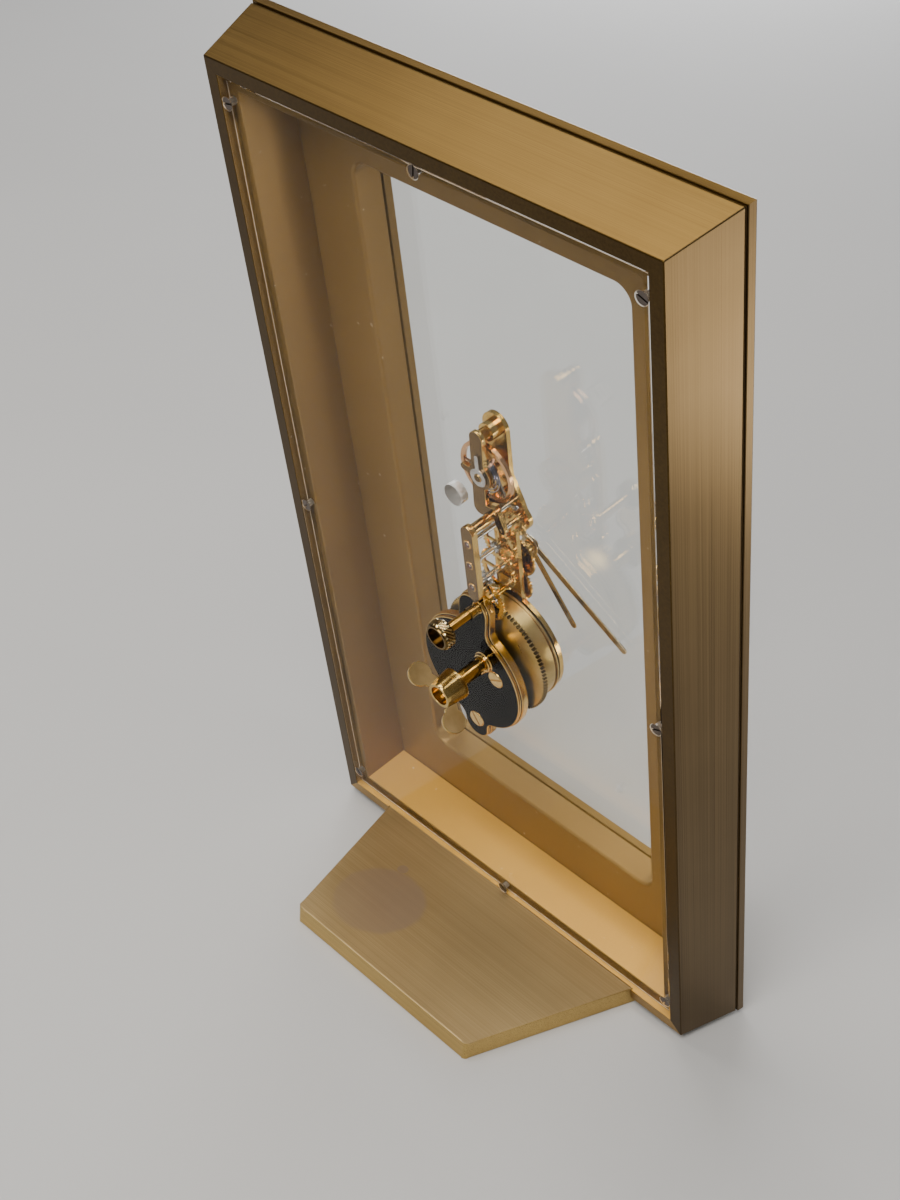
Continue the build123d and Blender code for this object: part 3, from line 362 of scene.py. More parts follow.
# knurled brass: the piece's own knurl attribute is 1 at the tips and 0 in the grooves; the grooves are
# painted dark as painted shade and the tips pale as painted highlight
def knurledBrass(name, groove, tip, worn, rough, places):
    look, tree, shader = newLook(name)
    height = addNode(tree, "ShaderNodeAttribute", {"attribute_name": "knurl"}).outputs["Fac"]
    haze = noise(tree, caseCoordinates(tree), "knobHaze")
    wornTone = ramp(tree, haze, worn, white)
    knurlPaintedShadeAndHighlight = ramp(tree, height, groove, tip, places)
    tree.links.new(mixColours(tree, 1.0, knurlPaintedShadeAndHighlight, wornTone, "MULTIPLY"), shader.inputs["Base Color"])
    tree.links.new(remap(tree, haze, noiseReach, rough), shader.inputs["Roughness"])
    shader.inputs["Metallic"].default_value = 1.0
    return look


def jewelStone(name, dark, light, rough, coat):
    look, tree, shader = newLook(name)
    depth = noise(tree, caseCoordinates(tree), "jewelDepth")
    tree.links.new(ramp(tree, depth, dark, light), shader.inputs["Base Color"])
    tree.links.new(remap(tree, depth, noiseReach, rough), shader.inputs["Roughness"])
    shader.inputs["Coat Weight"].default_value = coat
    return look


brushedTones = {
    "brushAcross": {"stretch": (5, 4600, 4600), "dark": (0.132, 0.078, 0.021), "light": (0.190, 0.117, 0.034),
                    "rough": (0.28, 0.42)},
    "brushUp": {"stretch": (3600, 3600, 5), "dark": (0.102, 0.066, 0.028), "light": (0.162, 0.109, 0.049),
                "rough": (0.26, 0.36), "bump": 0.14},
    # the front tones are the brushed brass painted lighter, as painted light on the bezel's front slopes
    "frontAcross": {"stretch": (5, 4600, 4600), "dark": (0.32, 0.205, 0.070), "light": (0.41, 0.272, 0.100),
                    "rough": (0.26, 0.36)},
    "frontUp": {"stretch": (4600, 4600, 5), "dark": (0.32, 0.205, 0.070), "light": (0.41, 0.272, 0.100),
                "rough": (0.26, 0.36)},
    "standBrush": {"stretch": (5, 4600, 4600), "dark": (0.400, 0.275, 0.120), "light": (0.540, 0.383, 0.178),
                   "rough": (0.30, 0.46), "metallic": 0.65},
    "standEdge": {"stretch": (5, 5200, 5200), "dark": (0.46, 0.315, 0.105), "light": (0.64, 0.455, 0.170),
                  "rough": (0.24, 0.36)},
    # the rear rim is one gilt: the near-black tone is painted shade and dark reflection, the lighter bottom
    # tone is a painted reflection of the bright stand below
    "lowRimGilt": {"stretch": (1400, 5200, 1400), "dark": (0.34, 0.210, 0.068), "light": (0.44, 0.280, 0.098),
                   "rough": (0.28, 0.38), "bump": 0.05},
    "rimGilt": {"stretch": (1400, 5200, 1400), "dark": (0.056, 0.033, 0.009), "light": (0.084, 0.050, 0.013),
                "rough": (0.30, 0.40), "bump": 0.05}}
paintTones = {
    "goldPaint": {"dark": (0.188, 0.108, 0.025), "light": (0.228, 0.134, 0.034), "dust": (0.42, 0.33, 0.20),
                  "metallic": 0.45},
    # the case floor is the same gold paint painted lighter, as painted light falling from above
    "floorPaint": {"dark": (0.49, 0.266, 0.046), "light": (0.59, 0.330, 0.063), "dust": (0.66, 0.50, 0.28),
                   "metallic": 0.35}}
polishedTones = {
    "movementGold": {"dark": (0.62, 0.38, 0.09), "light": (0.78, 0.52, 0.16), "rough": (0.12, 0.22)},
    # near-black plate faces: the polished gold painted as a dark painted reflection
    "plateMirror": {"dark": (0.010, 0.008, 0.005), "light": (0.018, 0.014, 0.008), "rough": (0.04, 0.07),
                    "bump": 0.001, "edgeTint": 0.3},
    "barBronze": {"dark": (0.145, 0.084, 0.028), "light": (0.205, 0.124, 0.045), "rough": (0.10, 0.18)},
    "satinBrass": {"dark": (0.52, 0.37, 0.125), "light": (0.66, 0.48, 0.185), "rough": (0.26, 0.38)},
    "toothShade": {"dark": (0.085, 0.055, 0.016), "light": (0.13, 0.087, 0.028), "rough": (0.30, 0.42)},
    "plateEdge": {"dark": (0.70, 0.45, 0.13), "light": (0.82, 0.56, 0.19), "rough": (0.10, 0.17)},
    "screwGold": {"dark": (0.56, 0.34, 0.08), "light": (0.72, 0.46, 0.13), "rough": (0.12, 0.20)},
    "keyBrass": {"dark": (0.66, 0.49, 0.23), "light": (0.80, 0.62, 0.32), "rough": (0.28, 0.40)},
    "keyGloss": {"dark": (0.44, 0.29, 0.085), "light": (0.58, 0.40, 0.135), "rough": (0.11, 0.19)},
    "rimBronze": {"dark": (0.62, 0.34, 0.16), "light": (0.76, 0.46, 0.24), "rough": (0.12, 0.20)},
    # hand tones are one polished gilt: the darker flats are painted reflection, the pale bevels painted
    # highlight
    "handGloss": {"dark": (0.33, 0.25, 0.135), "light": (0.44, 0.34, 0.195), "rough": (0.10, 0.18)},
    "handEdge": {"dark": (0.82, 0.69, 0.45), "light": (0.92, 0.80, 0.56), "rough": (0.10, 0.18)},
    "steelBright": {"dark": (0.46, 0.45, 0.43), "light": (0.64, 0.62, 0.59), "rough": (0.16, 0.28)},
    "steelDark": {"dark": (0.075, 0.060, 0.052), "light": (0.15, 0.125, 0.11), "rough": (0.26, 0.40)},
    "springBlue": {"dark": (0.16, 0.17, 0.24), "light": (0.30, 0.30, 0.36), "rough": (0.20, 0.32)}}
sheetTones = {
    "acrylicClear": {"tint": (0.985, 0.985, 0.975), "ior": 1.12, "rough": (0.0, 0.012)},
    "windowClear": {"tint": (0.95, 0.97, 0.96), "ior": 1.45, "rough": (0.0, 0.01)}}
cutTones = {
    "acrylicEdge": {"dark": (0.50, 0.39, 0.27), "light": (0.66, 0.54, 0.40), "clearness": 0.2},
    "acrylicSawn": {"dark": (0.80, 0.70, 0.55), "light": (0.92, 0.83, 0.70), "clearness": 0.92},
    "holeWall": {"dark": (0.74, 0.72, 0.68), "light": (0.90, 0.88, 0.84), "clearness": 0.80}}
jewelTones = {
    "jewelRed": {"dark": (0.035, 0.005, 0.007), "light": (0.09, 0.010, 0.014), "rough": (0.05, 0.12),
                 "coat": 0.3}}
knobTones = {
    # knurl tones: dark grooves are painted shade, pale tips are painted highlight
    "knobBrass": {"groove": (0.15, 0.095, 0.03), "tip": (0.90, 0.74, 0.42), "worn": (0.86, 0.85, 0.82),
                  "rough": (0.14, 0.24), "places": (0.1, 0.9)}}

makers = ((brushedMetal, brushedTones), (satinPaint, paintTones), (polishedMetal, polishedTones),
          (clearSheet, sheetTones), (cutAcrylic, cutTones), (jewelStone, jewelTones),
          (knurledBrass, knobTones))
looks = {}
for makeLook, tones in makers:
    for lookName, settings in tones.items():
        looks[lookName] = makeLook(lookName, **settings)

# old marks on the stand, in the table plane: a round stain that fades to one side and a small mark at its rim
standMarks = {"stain": {"centre": (19.5 * mm, 15.2 * mm), "radius": 12.7 * mm, "strength": 0.66},
              "mark": {"centre": (24.3 * mm, 2.2 * mm), "radius": 1.6 * mm, "strength": 0.7},
              "tone": (0.330, 0.235, 0.162), "ragged": 0.14, "rim": (1.12, 0.98),
              "fadeAlong": (0.69, 0.72, 0), "fadePlaces": (-4 * mm, 13 * mm), "fade": (1.0, 0.55)}


# the patch's strength inside its ragged round rim, 0 outside
def patchMask(tree, place, patch, ragged):
    shrink = 1 / patch["radius"]
    shift = calculate(tree, "ShaderNodeVectorMath", "SUBTRACT", place, (*patch["centre"], 0))
    flat = calculate(tree, "ShaderNodeVectorMath", "MULTIPLY", shift["Vector"], (shrink, shrink, 0))
    reach = calculate(tree, "ShaderNodeVectorMath", "LENGTH", flat["Vector"])
    wobble = calculate(tree, "ShaderNodeMath", "MULTIPLY_ADD", ragged, standMarks["ragged"], reach["Value"])
    return remap(tree, wobble["Value"], standMarks["rim"], (0.0, patch["strength"]), "SMOOTHSTEP")


def addMarks(look, marks):
    tree = look.node_tree
    tone = tree.nodes["Principled BSDF"].inputs["Base Color"]
    place = addNode(tree, "ShaderNodeTexCoord").outputs["Object"]
    ragged = noise(tree, place, "stainEdge")
    stain = patchMask(tree, place, marks["stain"], ragged)
    mark = patchMask(tree, place, marks["mark"], ragged)
    shift = calculate(tree, "ShaderNodeVectorMath", "SUBTRACT", place, (*marks["stain"]["centre"], 0))
    along = calculate(tree, "ShaderNodeVectorMath", "DOT_PRODUCT", shift["Vector"], marks["fadeAlong"])
    fade = remap(tree, along["Value"], marks["fadePlaces"], marks["fade"])
    faded = calculate(tree, "ShaderNodeMath", "MULTIPLY", stain, fade)
    either = calculate(tree, "ShaderNodeMath", "MAXIMUM", faded["Value"], mark)
    clean = tone.links[0].from_socket
    tree.links.new(mixColours(tree, either["Value"], clean, (*marks["tone"], 1)), tone)


addMarks(looks["standBrush"], standMarks)
print("looks made:", len(looks))

# case: brushed outside, painted inside with the floor painted lighter as painted light falling from above,
# and a gilt rear rim painted near-black as painted shade and dark reflection, its bottom strip painted
# lighter as a painted reflection of the bright stand
# in this and the other pieces, a facing is a limit on the part of a face's normal along one axis
caseSkin = {"edge": 0.22 * mm, "flareDepth": 19.5 * mm, "skin": 0.6 * mm, "rimDepth": 0.3 * mm,
            "rimFacing": 0.5, "floorHeight": 20 * mm, "floorFacing": 0.9}


# the case widens from the rear rim forwards
def caseSide(centre):
    flare = math.tan(caseFrame["lean"]) * max(0.0, min(centre.z, caseSkin["flareDepth"]))
    if abs(centre.x) > caseFrame["halfWidth"] + flare - caseSkin["skin"]:
        return "side"
    if abs(centre.y - caseFrame["middle"]) > caseFrame["halfHeight"] + flare - caseSkin["skin"]:
        return "end"
    return "inside"


def caseRule(centre, normal):
    low = centre.y < caseSkin["floorHeight"]
    # rear rim painted near-black as painted shade, and lighter along the bottom as painted reflection
    if centre.z < caseSkin["rimDepth"] and normal.z < -caseSkin["rimFacing"]:
        return "lowRimGilt" if low else "rimGilt"
    where = caseSide(centre)
    # the floor inside is painted lighter as painted light from above
    if where == "inside" and normal.y > caseSkin["floorFacing"] and low:
        return "floorPaint"
    return {"side": "brushUp", "end": "brushAcross", "inside": "goldPaint"}[where]


caseShell = refineNode("case_frame", "caseShell", caseSkin["edge"], flat=True)
paintFaces(caseShell, ("brushAcross", "brushUp", "rimGilt", "goldPaint", "floorPaint", "lowRimGilt"),
           caseRule)

# the groove behind the bezel is closed to a fine line: its floor comes out and its front edge comes back
groove = {"start": 16.9 * mm, "end": 17.9 * mm, "outer": 66.6 * mm, "inner": 65.0 * mm, "rise": 51.65 * mm,
          "lift": 1.05 * mm, "close": 0.42 * mm}


def closeGroove(place):
    across, along = abs(place.x), abs(place.y - caseFrame["middle"])
    reach = max(across, along - groove["rise"])
    if not groove["start"] < place.z < groove["end"] or reach < groove["inner"]:
        return place
    lift, back = (0.0, groove["close"]) if reach > groove["outer"] else (groove["lift"], 0.0)
    shift = lift - back * math.tan(caseFrame["lean"])
    if across > groove["inner"]:
        place.x += math.copysign(shift, place.x)
    if along - groove["rise"] > groove["inner"]:
        place.y += math.copysign(shift, place.y - caseFrame["middle"])
    place.z -= back
    return place


# bezel: brushed round the outside, the front slopes the same brushed brass painted lighter as painted light,
# gold paint where the lip holds the glass
bezelSkin = {"edge": 0.25 * mm, "slopeFacing": (0.5, 0.99), "lipWidth": 44.6 * mm, "lipHeight": 95.6 * mm,
             "lipDepth": 24.3 * mm}


def bezelRule(centre, normal):
    sloped = bezelSkin["slopeFacing"][0] < normal.z < bezelSkin["slopeFacing"][1]
    inLip = abs(centre.x) < bezelSkin["lipWidth"]
    inLip = inLip and abs(centre.y - caseFrame["middle"]) < bezelSkin["lipHeight"]
    if inLip and centre.z > bezelSkin["lipDepth"] and not sloped:
        return "goldPaint"
    # sloped front faces take the lighter copies, which are painted light
    if abs(normal.x) > abs(normal.y):
        return "frontUp" if sloped else "brushUp"
    return "frontAcross" if sloped else "brushAcross"


bezelShell = refineNode("front_bezel", "bezelShell", bezelSkin["edge"], flat=True, reshape=closeGroove)
paintFaces(bezelShell, ("brushAcross", "brushUp", "goldPaint", "frontAcross", "frontUp"), bezelRule)

# stand: brushed top and underside, brighter edges
standSkin = {"edge": 0.3 * mm, "flatFacing": 0.5}


def standRule(centre, normal):
    upward = (turnOut @ normal).z
    return "standBrush" if abs(upward) > standSkin["flatFacing"] else "standEdge"


standPlate = refineNode("stand_plate", "standPlate", standSkin["edge"], flat=True)
paintFaces(standPlate, ("standBrush", "standEdge"), standRule)

maskSheet = refineNode("inner_mask", "maskSheet")
maskSheet.data.materials.append(looks["goldPaint"])

# rear cover: clear flats, edges and stem holes, a pale line along each corner, and drilled screw holes
coverSkin = {"edge": 0.16 * mm, "flatFacing": 0.95, "cornerFacing": 0.3, "regulator": (0.0, 144.5 * mm),
             "regulatorReach": 4.0 * mm, "stems": (80 * mm, 120 * mm), "stemReach": 12 * mm,
             "side": 59.0 * mm, "end": 110.5 * mm}


def coverRule(centre, normal):
    if abs(normal.z) > coverSkin["flatFacing"]:
        return "acrylicClear"
    regulatorX, regulatorY = coverSkin["regulator"]
    if math.hypot(centre.x - regulatorX, centre.y - regulatorY) < coverSkin["regulatorReach"]:
        return "holeWall"
    if abs(centre.x) < coverSkin["stemReach"] and coverSkin["stems"][0] < centre.y < coverSkin["stems"][1]:
        return "acrylicClear"
    if abs(centre.x) < coverSkin["side"] and abs(centre.y - caseFrame["middle"]) < coverSkin["end"]:
        return "acrylicSawn"
    return "acrylicEdge" if abs(normal.z) > coverSkin["cornerFacing"] else "acrylicClear"


coverSheet = refineNode("rear_cover", "coverSheet", coverSkin["edge"], 1, flat=True)
paintFaces(coverSheet, ("acrylicClear", "acrylicEdge", "acrylicSawn", "holeWall"), coverRule)
coverSheet.visible_shadow = False  # lets the lamps into the case

# front glass: clear flats and sawn edges
glassSkin = {"edge": 0.1 * mm, "flatFacing": 0.95}


def glassRule(centre, normal):
    return "windowClear" if abs(normal.z) > glassSkin["flatFacing"] else "acrylicSawn"


glassPane = refineNode("front_glass", "glassPane", glassSkin["edge"], 1, flat=True)
paintFaces(glassPane, ("windowClear", "acrylicSawn"), glassRule)
glassPane.visible_shadow = False
print("case dressed")

# movement plates: polished faces with bright rounded edges; a boss behind bossDepth is bright too; the faces
# of the cover and barrel plates are polished gold painted near-black, as a painted dark reflection
# each has its node, piece, edge in mm, face look and slot
plates = [("bridge_cover", "coverPlate", 0.28, "plateMirror", "polished_plate"),
          ("barrel_bridge", "barrelPlate", 0.6, "plateMirror", "polished_plate"),
          ("train_bridge", "trainBar", 0.3, "barBronze", "gold_brass"),
          ("balance_cock", "balanceCock", 0.3, "barBronze", "gold_brass")]
plateSkin = {"segments": 3, "flatFacing": 0.98, "bossDepth": 3.25 * mm}


def plateRule(faceLook):
    def rule(centre, normal):
        flat = abs(normal.z) > plateSkin["flatFacing"]
        return faceLook if flat and centre.z > plateSkin["bossDepth"] else "plateEdge"
    return rule


for nodeName, pieceName, edge, lookName, slotName in plates:
    plate = refineNode(nodeName, pieceName, edge * mm, plateSkin["segments"])
    paintFaces(plate, (lookName, "plateEdge"), plateRule(lookName))

# jewels of the train bar: dark stones in gold rings
jewelSkin = {"edge": 0.3 * mm, "stone": 0.72 * mm,
             "axes": [(0.0, 115.2 * mm), (0.0, 121.95 * mm), (0.0, 128.4 * mm)]}


def jewelRule(centre, normal):
    apart = min(math.hypot(centre.x - x, centre.y - y) for x, y in jewelSkin["axes"])
    return "plateEdge" if apart > jewelSkin["stone"] else "jewelRed"


trainJewels = refineNode("train_jewels", "trainJewels", jewelSkin["edge"])
paintFaces(trainJewels, ("jewelRed", "plateEdge"), jewelRule)

# turned and milled pieces with softened edges: node, piece, edge in mm, look, slot
turnedPieces = [("main_plate", "mainPlate", 0.12, "movementGold", "gold_brass"),
                ("bridge_pillars", "bridgePosts", 0.1, "movementGold", "gold_brass"),
                ("train_pillar", "trainPost", 0.1, "plateEdge", "gold_brass"),
                ("cock_pillars", "cockPosts", 0.1, "plateEdge", "gold_brass"),
                ("movement_feet", "movementFeet", 0.15, "plateEdge", "gold_brass"),
                ("barrel_lid", "barrelLid", 0.15, "satinBrass", "gold_brass"),
                ("barrel_arbor", "barrelArbor", 0.15, "screwGold", "steel"),
                ("setting_stem", "settingStem", 0.12, "screwGold", "gold_brass"),
                ("balance_wheel", "balanceWheel", 0.08, "rimBronze", "gold_brass"),
                ("regulator_index", "regulatorIndex", 0.1, "steelBright", "steel"),
                ("foot_screws", "footScrews", 0.2, "screwGold", "screw_gilt"),
                ("pallet_lever", "palletLever", 0.0, "steelBright", "steel"),
                ("hairspring", "balanceSpring", 0.0, "springBlue", "blue_steel"),
                ("mainspring", "barrelSpring", 0.0, "springBlue", "blue_steel")]
for nodeName, pieceName, edge, lookName, slotName in turnedPieces:
    piece = refineNode(nodeName, pieceName, edge * mm)
    piece.data.materials.append(looks[lookName])

# barrel: satin drum whose tooth gaps are darker; the teeth's depths and radii
drumSkin = {"axis": (0.0, 90.2 * mm), "start": 8.15 * mm, "end": 9.45 * mm, "inner": 15.0 * mm,
            "root": 15.85 * mm, "flatFacing": 0.9, "tipFacing": 0.85}


def drumRule(centre, normal):
    across, up = centre.x - drumSkin["axis"][0], centre.y - drumSkin["axis"][1]
    reach = math.hypot(across, up)
    inTeeth = drumSkin["start"] < centre.z < drumSkin["end"] and reach >= drumSkin["inner"]
    if not inTeeth or abs(normal.z) > drumSkin["flatFacing"]:
        return "satinBrass"
    outward = (across * normal.x + up * normal.y) / reach
    return "toothShade" if outward < drumSkin["tipFacing"] or reach < drumSkin["root"] else "satinBrass"


barrelDrum = refineNode("barrel_drum", "barrelDrum")
paintFaces(barrelDrum, ("satinBrass", "toothShade"), drumRule)

# key: satin wings with polished edges on a polished hub; a wing's flats lie in a plane near the axis
keySkin = {"edge": 0.22 * mm, "axis": (0.0, 90.2 * mm), "wingOffset": 0.6 * mm, "endFacing": 0.1}


def keyRule(centre, normal):
    across, up = centre.x - keySkin["axis"][0], centre.y - keySkin["axis"][1]
    nearAxis = abs(across * normal.x + up * normal.y) < keySkin["wingOffset"]
    return "keyBrass" if nearAxis and abs(normal.z) < keySkin["endFacing"] else "keyGloss"


windingKey = refineNode("winding_key", "windingKey", keySkin["edge"])
paintFaces(windingKey, ("keyBrass", "keyGloss"), keyRule)

# train wheels: gold discs on steel pinions; piece, axis, reach of the pinion and depths of the disc in mm
trainWheels = {"intermediate_wheel": ("intermediateWheel", (0.0, 108.2), 2.3, (7.3, 7.9)),
               "centre_wheel": ("centreWheel", (0.0, 115.2), 2.1, (11.3, 11.9)),
               "third_wheel": ("thirdWheel", (0.0, 121.95), 1.7, (12.7, 13.3)),
               "fourth_wheel": ("fourthWheel", (0.0, 128.4), 1.5, (16.5, 17.1)),
               "escape_wheel": ("escapeWheel", (-5.503, 131.746), 1.4, (12.9, 13.4))}
discSlack = 0.02  # in mm, so that the disc's own two faces count as inside it


def wheelRule(axis, reach, disc):
    def rule(centre, normal):
        apart = math.hypot(centre.x - axis[0] * mm, centre.y - axis[1] * mm)
        inDisc = (disc[0] - discSlack) * mm < centre.z < (disc[1] + discSlack) * mm
        return "steelBright" if apart < reach * mm and not inDisc else "movementGold"
    return rule


for nodeName, (pieceName, axis, reach, disc) in trainWheels.items():
    wheel = refineNode(nodeName, pieceName)
    paintFaces(wheel, ("movementGold", "steelBright"), wheelRule(axis, reach, disc))

# hands: one polished gilt, the flats painted darker as painted reflection and the bevels painted pale as
# painted highlight
handSkin = {"edge": 0.19 * mm, "flatFacing": 0.98,
            "pieces": {"minute_hand": "minuteHand", "hour_hand": "hourHand"}}


def handRule(centre, normal):
    return "handGloss" if abs(normal.z) > handSkin["flatFacing"] else "handEdge"


for nodeName, pieceName in handSkin["pieces"].items():
    hand = refineNode(nodeName, pieceName, handSkin["edge"])
    paintFaces(hand, ("handGloss", "handEdge"), handRule)

# small pieces that keep their own mesh
plainLooks = {"minute_wheel": "movementGold", "hour_wheel": "movementGold", "cannon_pinion": "steelBright",
              "ratchet_wheel": "steelBright", "click": "steelBright", "hairspring_stud": "steelBright",
              "stand_screws": "steelBright"}
for nodeName, lookName in plainLooks.items():
    nodes[nodeName].data.materials.clear()
    nodes[nodeName].data.materials.append(looks[lookName])
print("movement dressed")

# slotted screws: one turned head, copied to each place; sink is the depth of its face, places are in mm
screwShape = {"around": 40, "domeSteps": 4, "faceDepth": 0.001 * mm, "endFacing": 0.9, "crease": 30}
coverScrew = {"radius": 1.5 * mm, "height": 0.8 * mm, "neck": 0.9 * mm, "length": 6.55 * mm,
              "dome": 0.05 * mm, "sink": 0.15 * mm, "slotWidth": 0.42 * mm, "slotDepth": 0.35 * mm,
              "places": [(x, y) for x in (-58.05, 58.05) for y in (9.6, 110.0, 220.4)]
              + [(0, 5.85), (0, 224.7)],
              "turns": (20, 65, 110, 150, 35, 80, 125, 10)}
bridgeScrew = {"radius": 2.4 * mm, "height": 0.5 * mm, "neck": 2.4 * mm, "length": 0.0, "dome": 0.4 * mm,
               "sink": 3.5 * mm, "slotWidth": 0.5 * mm, "slotDepth": 0.3 * mm,
               "places": [(-3.9, 86.9), (4.9, 67.2)],
               "turns": (62, 148)}


def screwHead(sizes, name):
    clearSelection()
    height = sizes["height"]
    bpy.ops.mesh.primitive_cylinder_add(vertices=screwShape["around"], radius=sizes["radius"], depth=height,
                                        location=(0, 0, height / 2))
    head = bpy.context.object
    head.name = name
    bpy.ops.object.transform_apply(location=True, rotation=True, scale=True)

    def inNeck(point):
        return point.co.z > height / 2

    def onFace(edge):
        return all(head.data.vertices[index].co.z < screwShape["faceDepth"] for index in edge.vertices)

    def atEnd(face):
        return face.normal.z > screwShape["endFacing"]

    selectParts(head, "VERT", inNeck)
    taper = sizes["neck"] / sizes["radius"]
    bpy.ops.transform.resize(value=(taper, taper, 1), center_override=(0, 0, height))
    selectParts(head, "EDGE", onFace)
    bpy.ops.mesh.bevel(offset=sizes["dome"], segments=screwShape["domeSteps"], profile=0.5, affect="EDGES")
    if sizes["length"]:
        selectParts(head, "FACE", atEnd)
        bpy.ops.mesh.extrude_region_move(TRANSFORM_OT_translate={"value": (0, 0, sizes["length"])})
    clearSelection()
    bpy.ops.mesh.primitive_cube_add(size=1, location=(0, 0, 0))
    cutter = bpy.context.object
    cutter.scale = (sizes["slotWidth"], 4 * sizes["radius"], 2 * sizes["slotDepth"])
    bpy.ops.object.transform_apply(location=True, rotation=True, scale=True)
    applyModifier(head, "BOOLEAN", {"object": cutter, "operation": "DIFFERENCE", "solver": "EXACT"})
    bpy.data.objects.remove(cutter)
    return head


def placeScrews(sizes, name, nodeName, lookName):
    head = screwHead(sizes, name + "Head")
    copies = []
    for (x, y), turn in zip(sizes["places"], sizes["turns"]):
        copy = head.copy()
        copy.data = head.data.copy()
        bpy.context.scene.collection.objects.link(copy)
        place = Matrix.Translation((x * mm, y * mm, sizes["sink"]))
        copy.matrix_world = caseMatrix @ place @ Matrix.Rotation(math.radians(turn), 4, "Z")
        copies.append(copy)
    bpy.data.objects.remove(head)
    clearSelection()
    for copy in copies:
        copy.select_set(True)
    bpy.context.view_layer.objects.active = copies[0]
    bpy.ops.object.join()
    bpy.ops.object.transform_apply(location=True, rotation=True, scale=True)
    screws = bpy.context.object
    screws.name = name
    smoothPiece(screws, screwShape["crease"])
    screws.data.materials.append(looks[lookName])
    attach(screws, "case")
    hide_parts(nodeName)


placeScrews(coverScrew, "coverScrews", "cover_screws", "steelDark")
placeScrews(bridgeScrew, "bridgeScrews", "bridge_screws", "plateEdge")
print("screws placed")

# setting knob: cross-knurled barrel with a recessed end
settingKnob = {"radius": 3.75 * mm, "length": 3.3 * mm, "start": -7.0 * mm, "centre": (0.0, 108.2 * mm),
               "around": 44, "rows": 6, "knurl": 0.42 * mm, "chamfer": 0.3 * mm, "endTaper": 0.95,
               "recessRadius": 2.7 * mm, "recessDepth": 1.4 * mm, "endFacing": 0.9, "crease": 12}


def makeKnob(sizes):
    clearSelection()
    core = sizes["radius"] - sizes["knurl"]
    rear = sizes["start"] - sizes["length"]
    firstRow = rear + sizes["chamfer"]
    span = sizes["length"] - 2 * sizes["chamfer"]
    bpy.ops.mesh.primitive_cylinder_add(vertices=sizes["around"], radius=core, depth=span,
                                        location=(0, 0, (sizes["start"] + rear) / 2))
    knob = bpy.context.object
    knob.name = "settingKnob"
    bpy.ops.object.transform_apply(location=True, rotation=True, scale=True)
    bpy.ops.object.mode_set(mode="EDIT")
    for row in range(1, sizes["rows"]):
        bpy.ops.mesh.select_all(action="SELECT")
        bpy.ops.mesh.bisect(plane_co=(0, 0, firstRow + span * row / sizes["rows"]), plane_no=(0, 0, 1))

    # every second point round each inner row stands out as the tip of a diamond
    def isTip(point):
        row = round((point.co.z - firstRow) / span * sizes["rows"])
        column = round(math.atan2(point.co.y, point.co.x) / (2 * math.pi) * sizes["around"])
        return 0 < row < sizes["rows"] and (row + column) % 2 == 0

    selectParts(knob, "VERT", isTip)
    reach = sizes["radius"] / core
    bpy.ops.transform.resize(value=(reach, reach, 1), center_override=(0, 0, 0))
    for side in (-1, 1):
        def atEnd(face):
            return face.normal.z * side > sizes["endFacing"]

        selectParts(knob, "FACE", atEnd)
        bpy.ops.mesh.extrude_region_move(TRANSFORM_OT_translate={"value": (0, 0, side * sizes["chamfer"])})
        bpy.ops.transform.resize(value=(sizes["endTaper"], sizes["endTaper"], 1))
        if side < 0:
            bpy.ops.mesh.inset(thickness=core * sizes["endTaper"] - sizes["recessRadius"])
            bpy.ops.mesh.extrude_region_move(TRANSFORM_OT_translate={"value": (0, 0, sizes["recessDepth"])})
    bpy.ops.object.mode_set(mode="OBJECT")
    knurl = knob.data.attributes.new("knurl", "FLOAT", "POINT")
    for vertex in knob.data.vertices:
        height = (math.hypot(vertex.co.x, vertex.co.y) - sizes["radius"]) / sizes["knurl"] + 1
        knurl.data[vertex.index].value = max(0.0, min(1.0, height))
    knob.matrix_world = caseMatrix @ Matrix.Translation((*sizes["centre"], 0))
    bpy.ops.object.transform_apply(location=True, rotation=True, scale=True)
    smoothPiece(knob, sizes["crease"])
    knob.data.materials.append(looks["knobBrass"])
    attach(knob, "setting")
    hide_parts("setting_knob")


makeKnob(settingKnob)
print("knob knurled")

# floor and air of the studio; the floor lies a hair below the stand
studio = {"floor": 3.0, "floorDrop": 0.05 * mm, "floorTone": (0.52, 0.515, 0.505), "floorShade": 0.97,
          "floorRough": 0.85, "skyTone": (0.80, 0.82, 0.86), "skyStrength": 0.25}


def makeStudio(sizes):
    clearSelection()
    bpy.ops.mesh.primitive_plane_add(size=sizes["floor"], location=(0, 0, -sizes["floorDrop"]))
    floor = bpy.context.object
    floor.name = "floor"
    look, tree, shader = newLook("floorPaper")
    place = addNode(tree, "ShaderNodeTexCoord")
    grain = noise(tree, place.outputs["Object"], "floorPaper")
    tone = sizes["floorTone"]
    shade = tuple(sizes["floorShade"] * part for part in tone)
    tree.links.new(ramp(tree, grain, shade, tone), shader.inputs["Base Color"])
    shader.inputs["Roughness"].default_value = sizes["floorRough"]
    floor.data.materials.append(look)
    world = bpy.data.worlds.new("studioAir")
    bpy.context.scene.world = world
    world.use_nodes = True
    air = world.node_tree.nodes["Background"]
    air.inputs["Color"].default_value = (*sizes["skyTone"], 1)
    air.inputs["Strength"].default_value = sizes["skyStrength"]


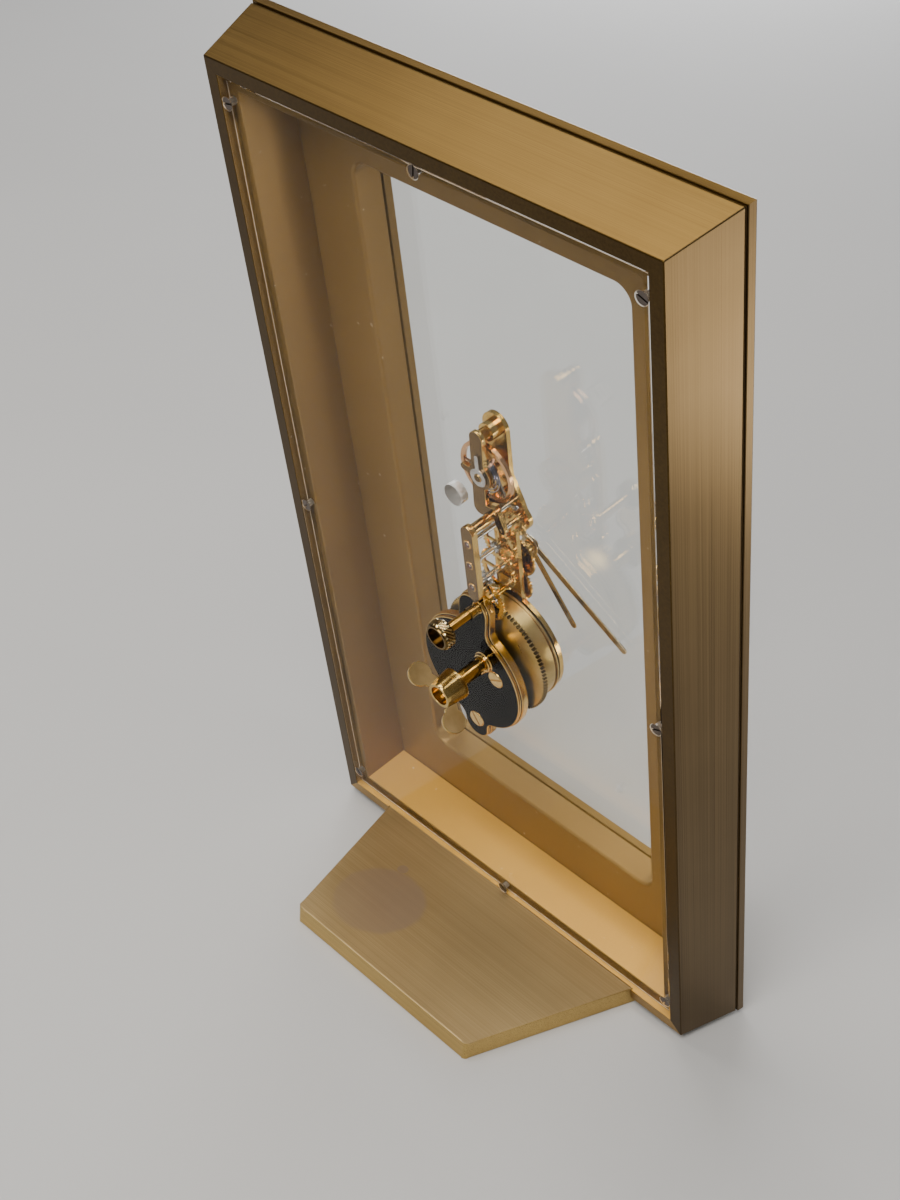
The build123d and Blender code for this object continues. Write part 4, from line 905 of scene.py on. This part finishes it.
# soft lamps: place and target in metres, size of the lamp, power in watts and tone
lamps = {"keyLight": {"place": (-0.20, 0.75, 1.10), "target": (0, 0, 0.1), "size": 0.7, "power": 16.0,
                      "tone": (1.0, 0.96, 0.90)},
         "topLight": {"place": (0.35, 0.05, 1.1), "target": (0, 0, 0.12), "size": 0.6, "power": 7.0,
                      "tone": (1.0, 0.97, 0.93)},
         "frontLight": {"place": (0.75, -0.95, 0.30), "target": (0, 0, 0.12), "size": 0.45, "power": 6.0,
                        "tone": (0.95, 0.97, 1.0)},
         "sideLight": {"place": (-0.285, -0.14, 0.065), "target": (-0.066, 0, 0.22), "size": 0.09,
                       "power": 0.20, "tone": (1.0, 0.95, 0.88)}}


def softLight(name, place, target, size, power, tone):
    clearSelection()
    bpy.ops.object.light_add(type="AREA", location=place)
    lamp = bpy.context.object
    lamp.name = name
    lamp.data.size = size
    lamp.data.energy = power
    lamp.data.color = tone
    lamp.rotation_euler = (Vector(target) - Vector(place)).to_track_quat("-Z", "Y").to_euler()
    lamp.visible_camera = False


makeStudio(studio)
for lampName, settings in lamps.items():
    softLight(lampName, **settings)

# camera at the photo's viewing angle: its place in metres, its three axes, lens and sensor in mm
photoCamera = {"eye": (-0.243146, 0.267442, 0.355117), "right": (-0.689042, -0.722405, 0.057891),
               "up": (0.443855, -0.357509, 0.821694), "back": (-0.572899, 0.591877, 0.566982),
               "lens": 55.706, "sensor": 36.0, "nearest": 10 * mm}


def makeCamera(sizes):
    data = bpy.data.cameras.new("photoView")
    camera = bpy.data.objects.new("photoView", data)
    bpy.context.scene.collection.objects.link(camera)
    data.sensor_fit = "VERTICAL"
    data.sensor_height = sizes["sensor"]
    data.sensor_width = sizes["sensor"]
    data.lens = sizes["lens"]
    data.clip_start = sizes["nearest"]
    turn = Matrix([sizes[axis] for axis in ("right", "up", "back")]).transposed().to_4x4()
    camera.matrix_world = Matrix.Translation(sizes["eye"]) @ turn
    bpy.context.scene.camera = camera


makeCamera(photoCamera)
print("studio ready")
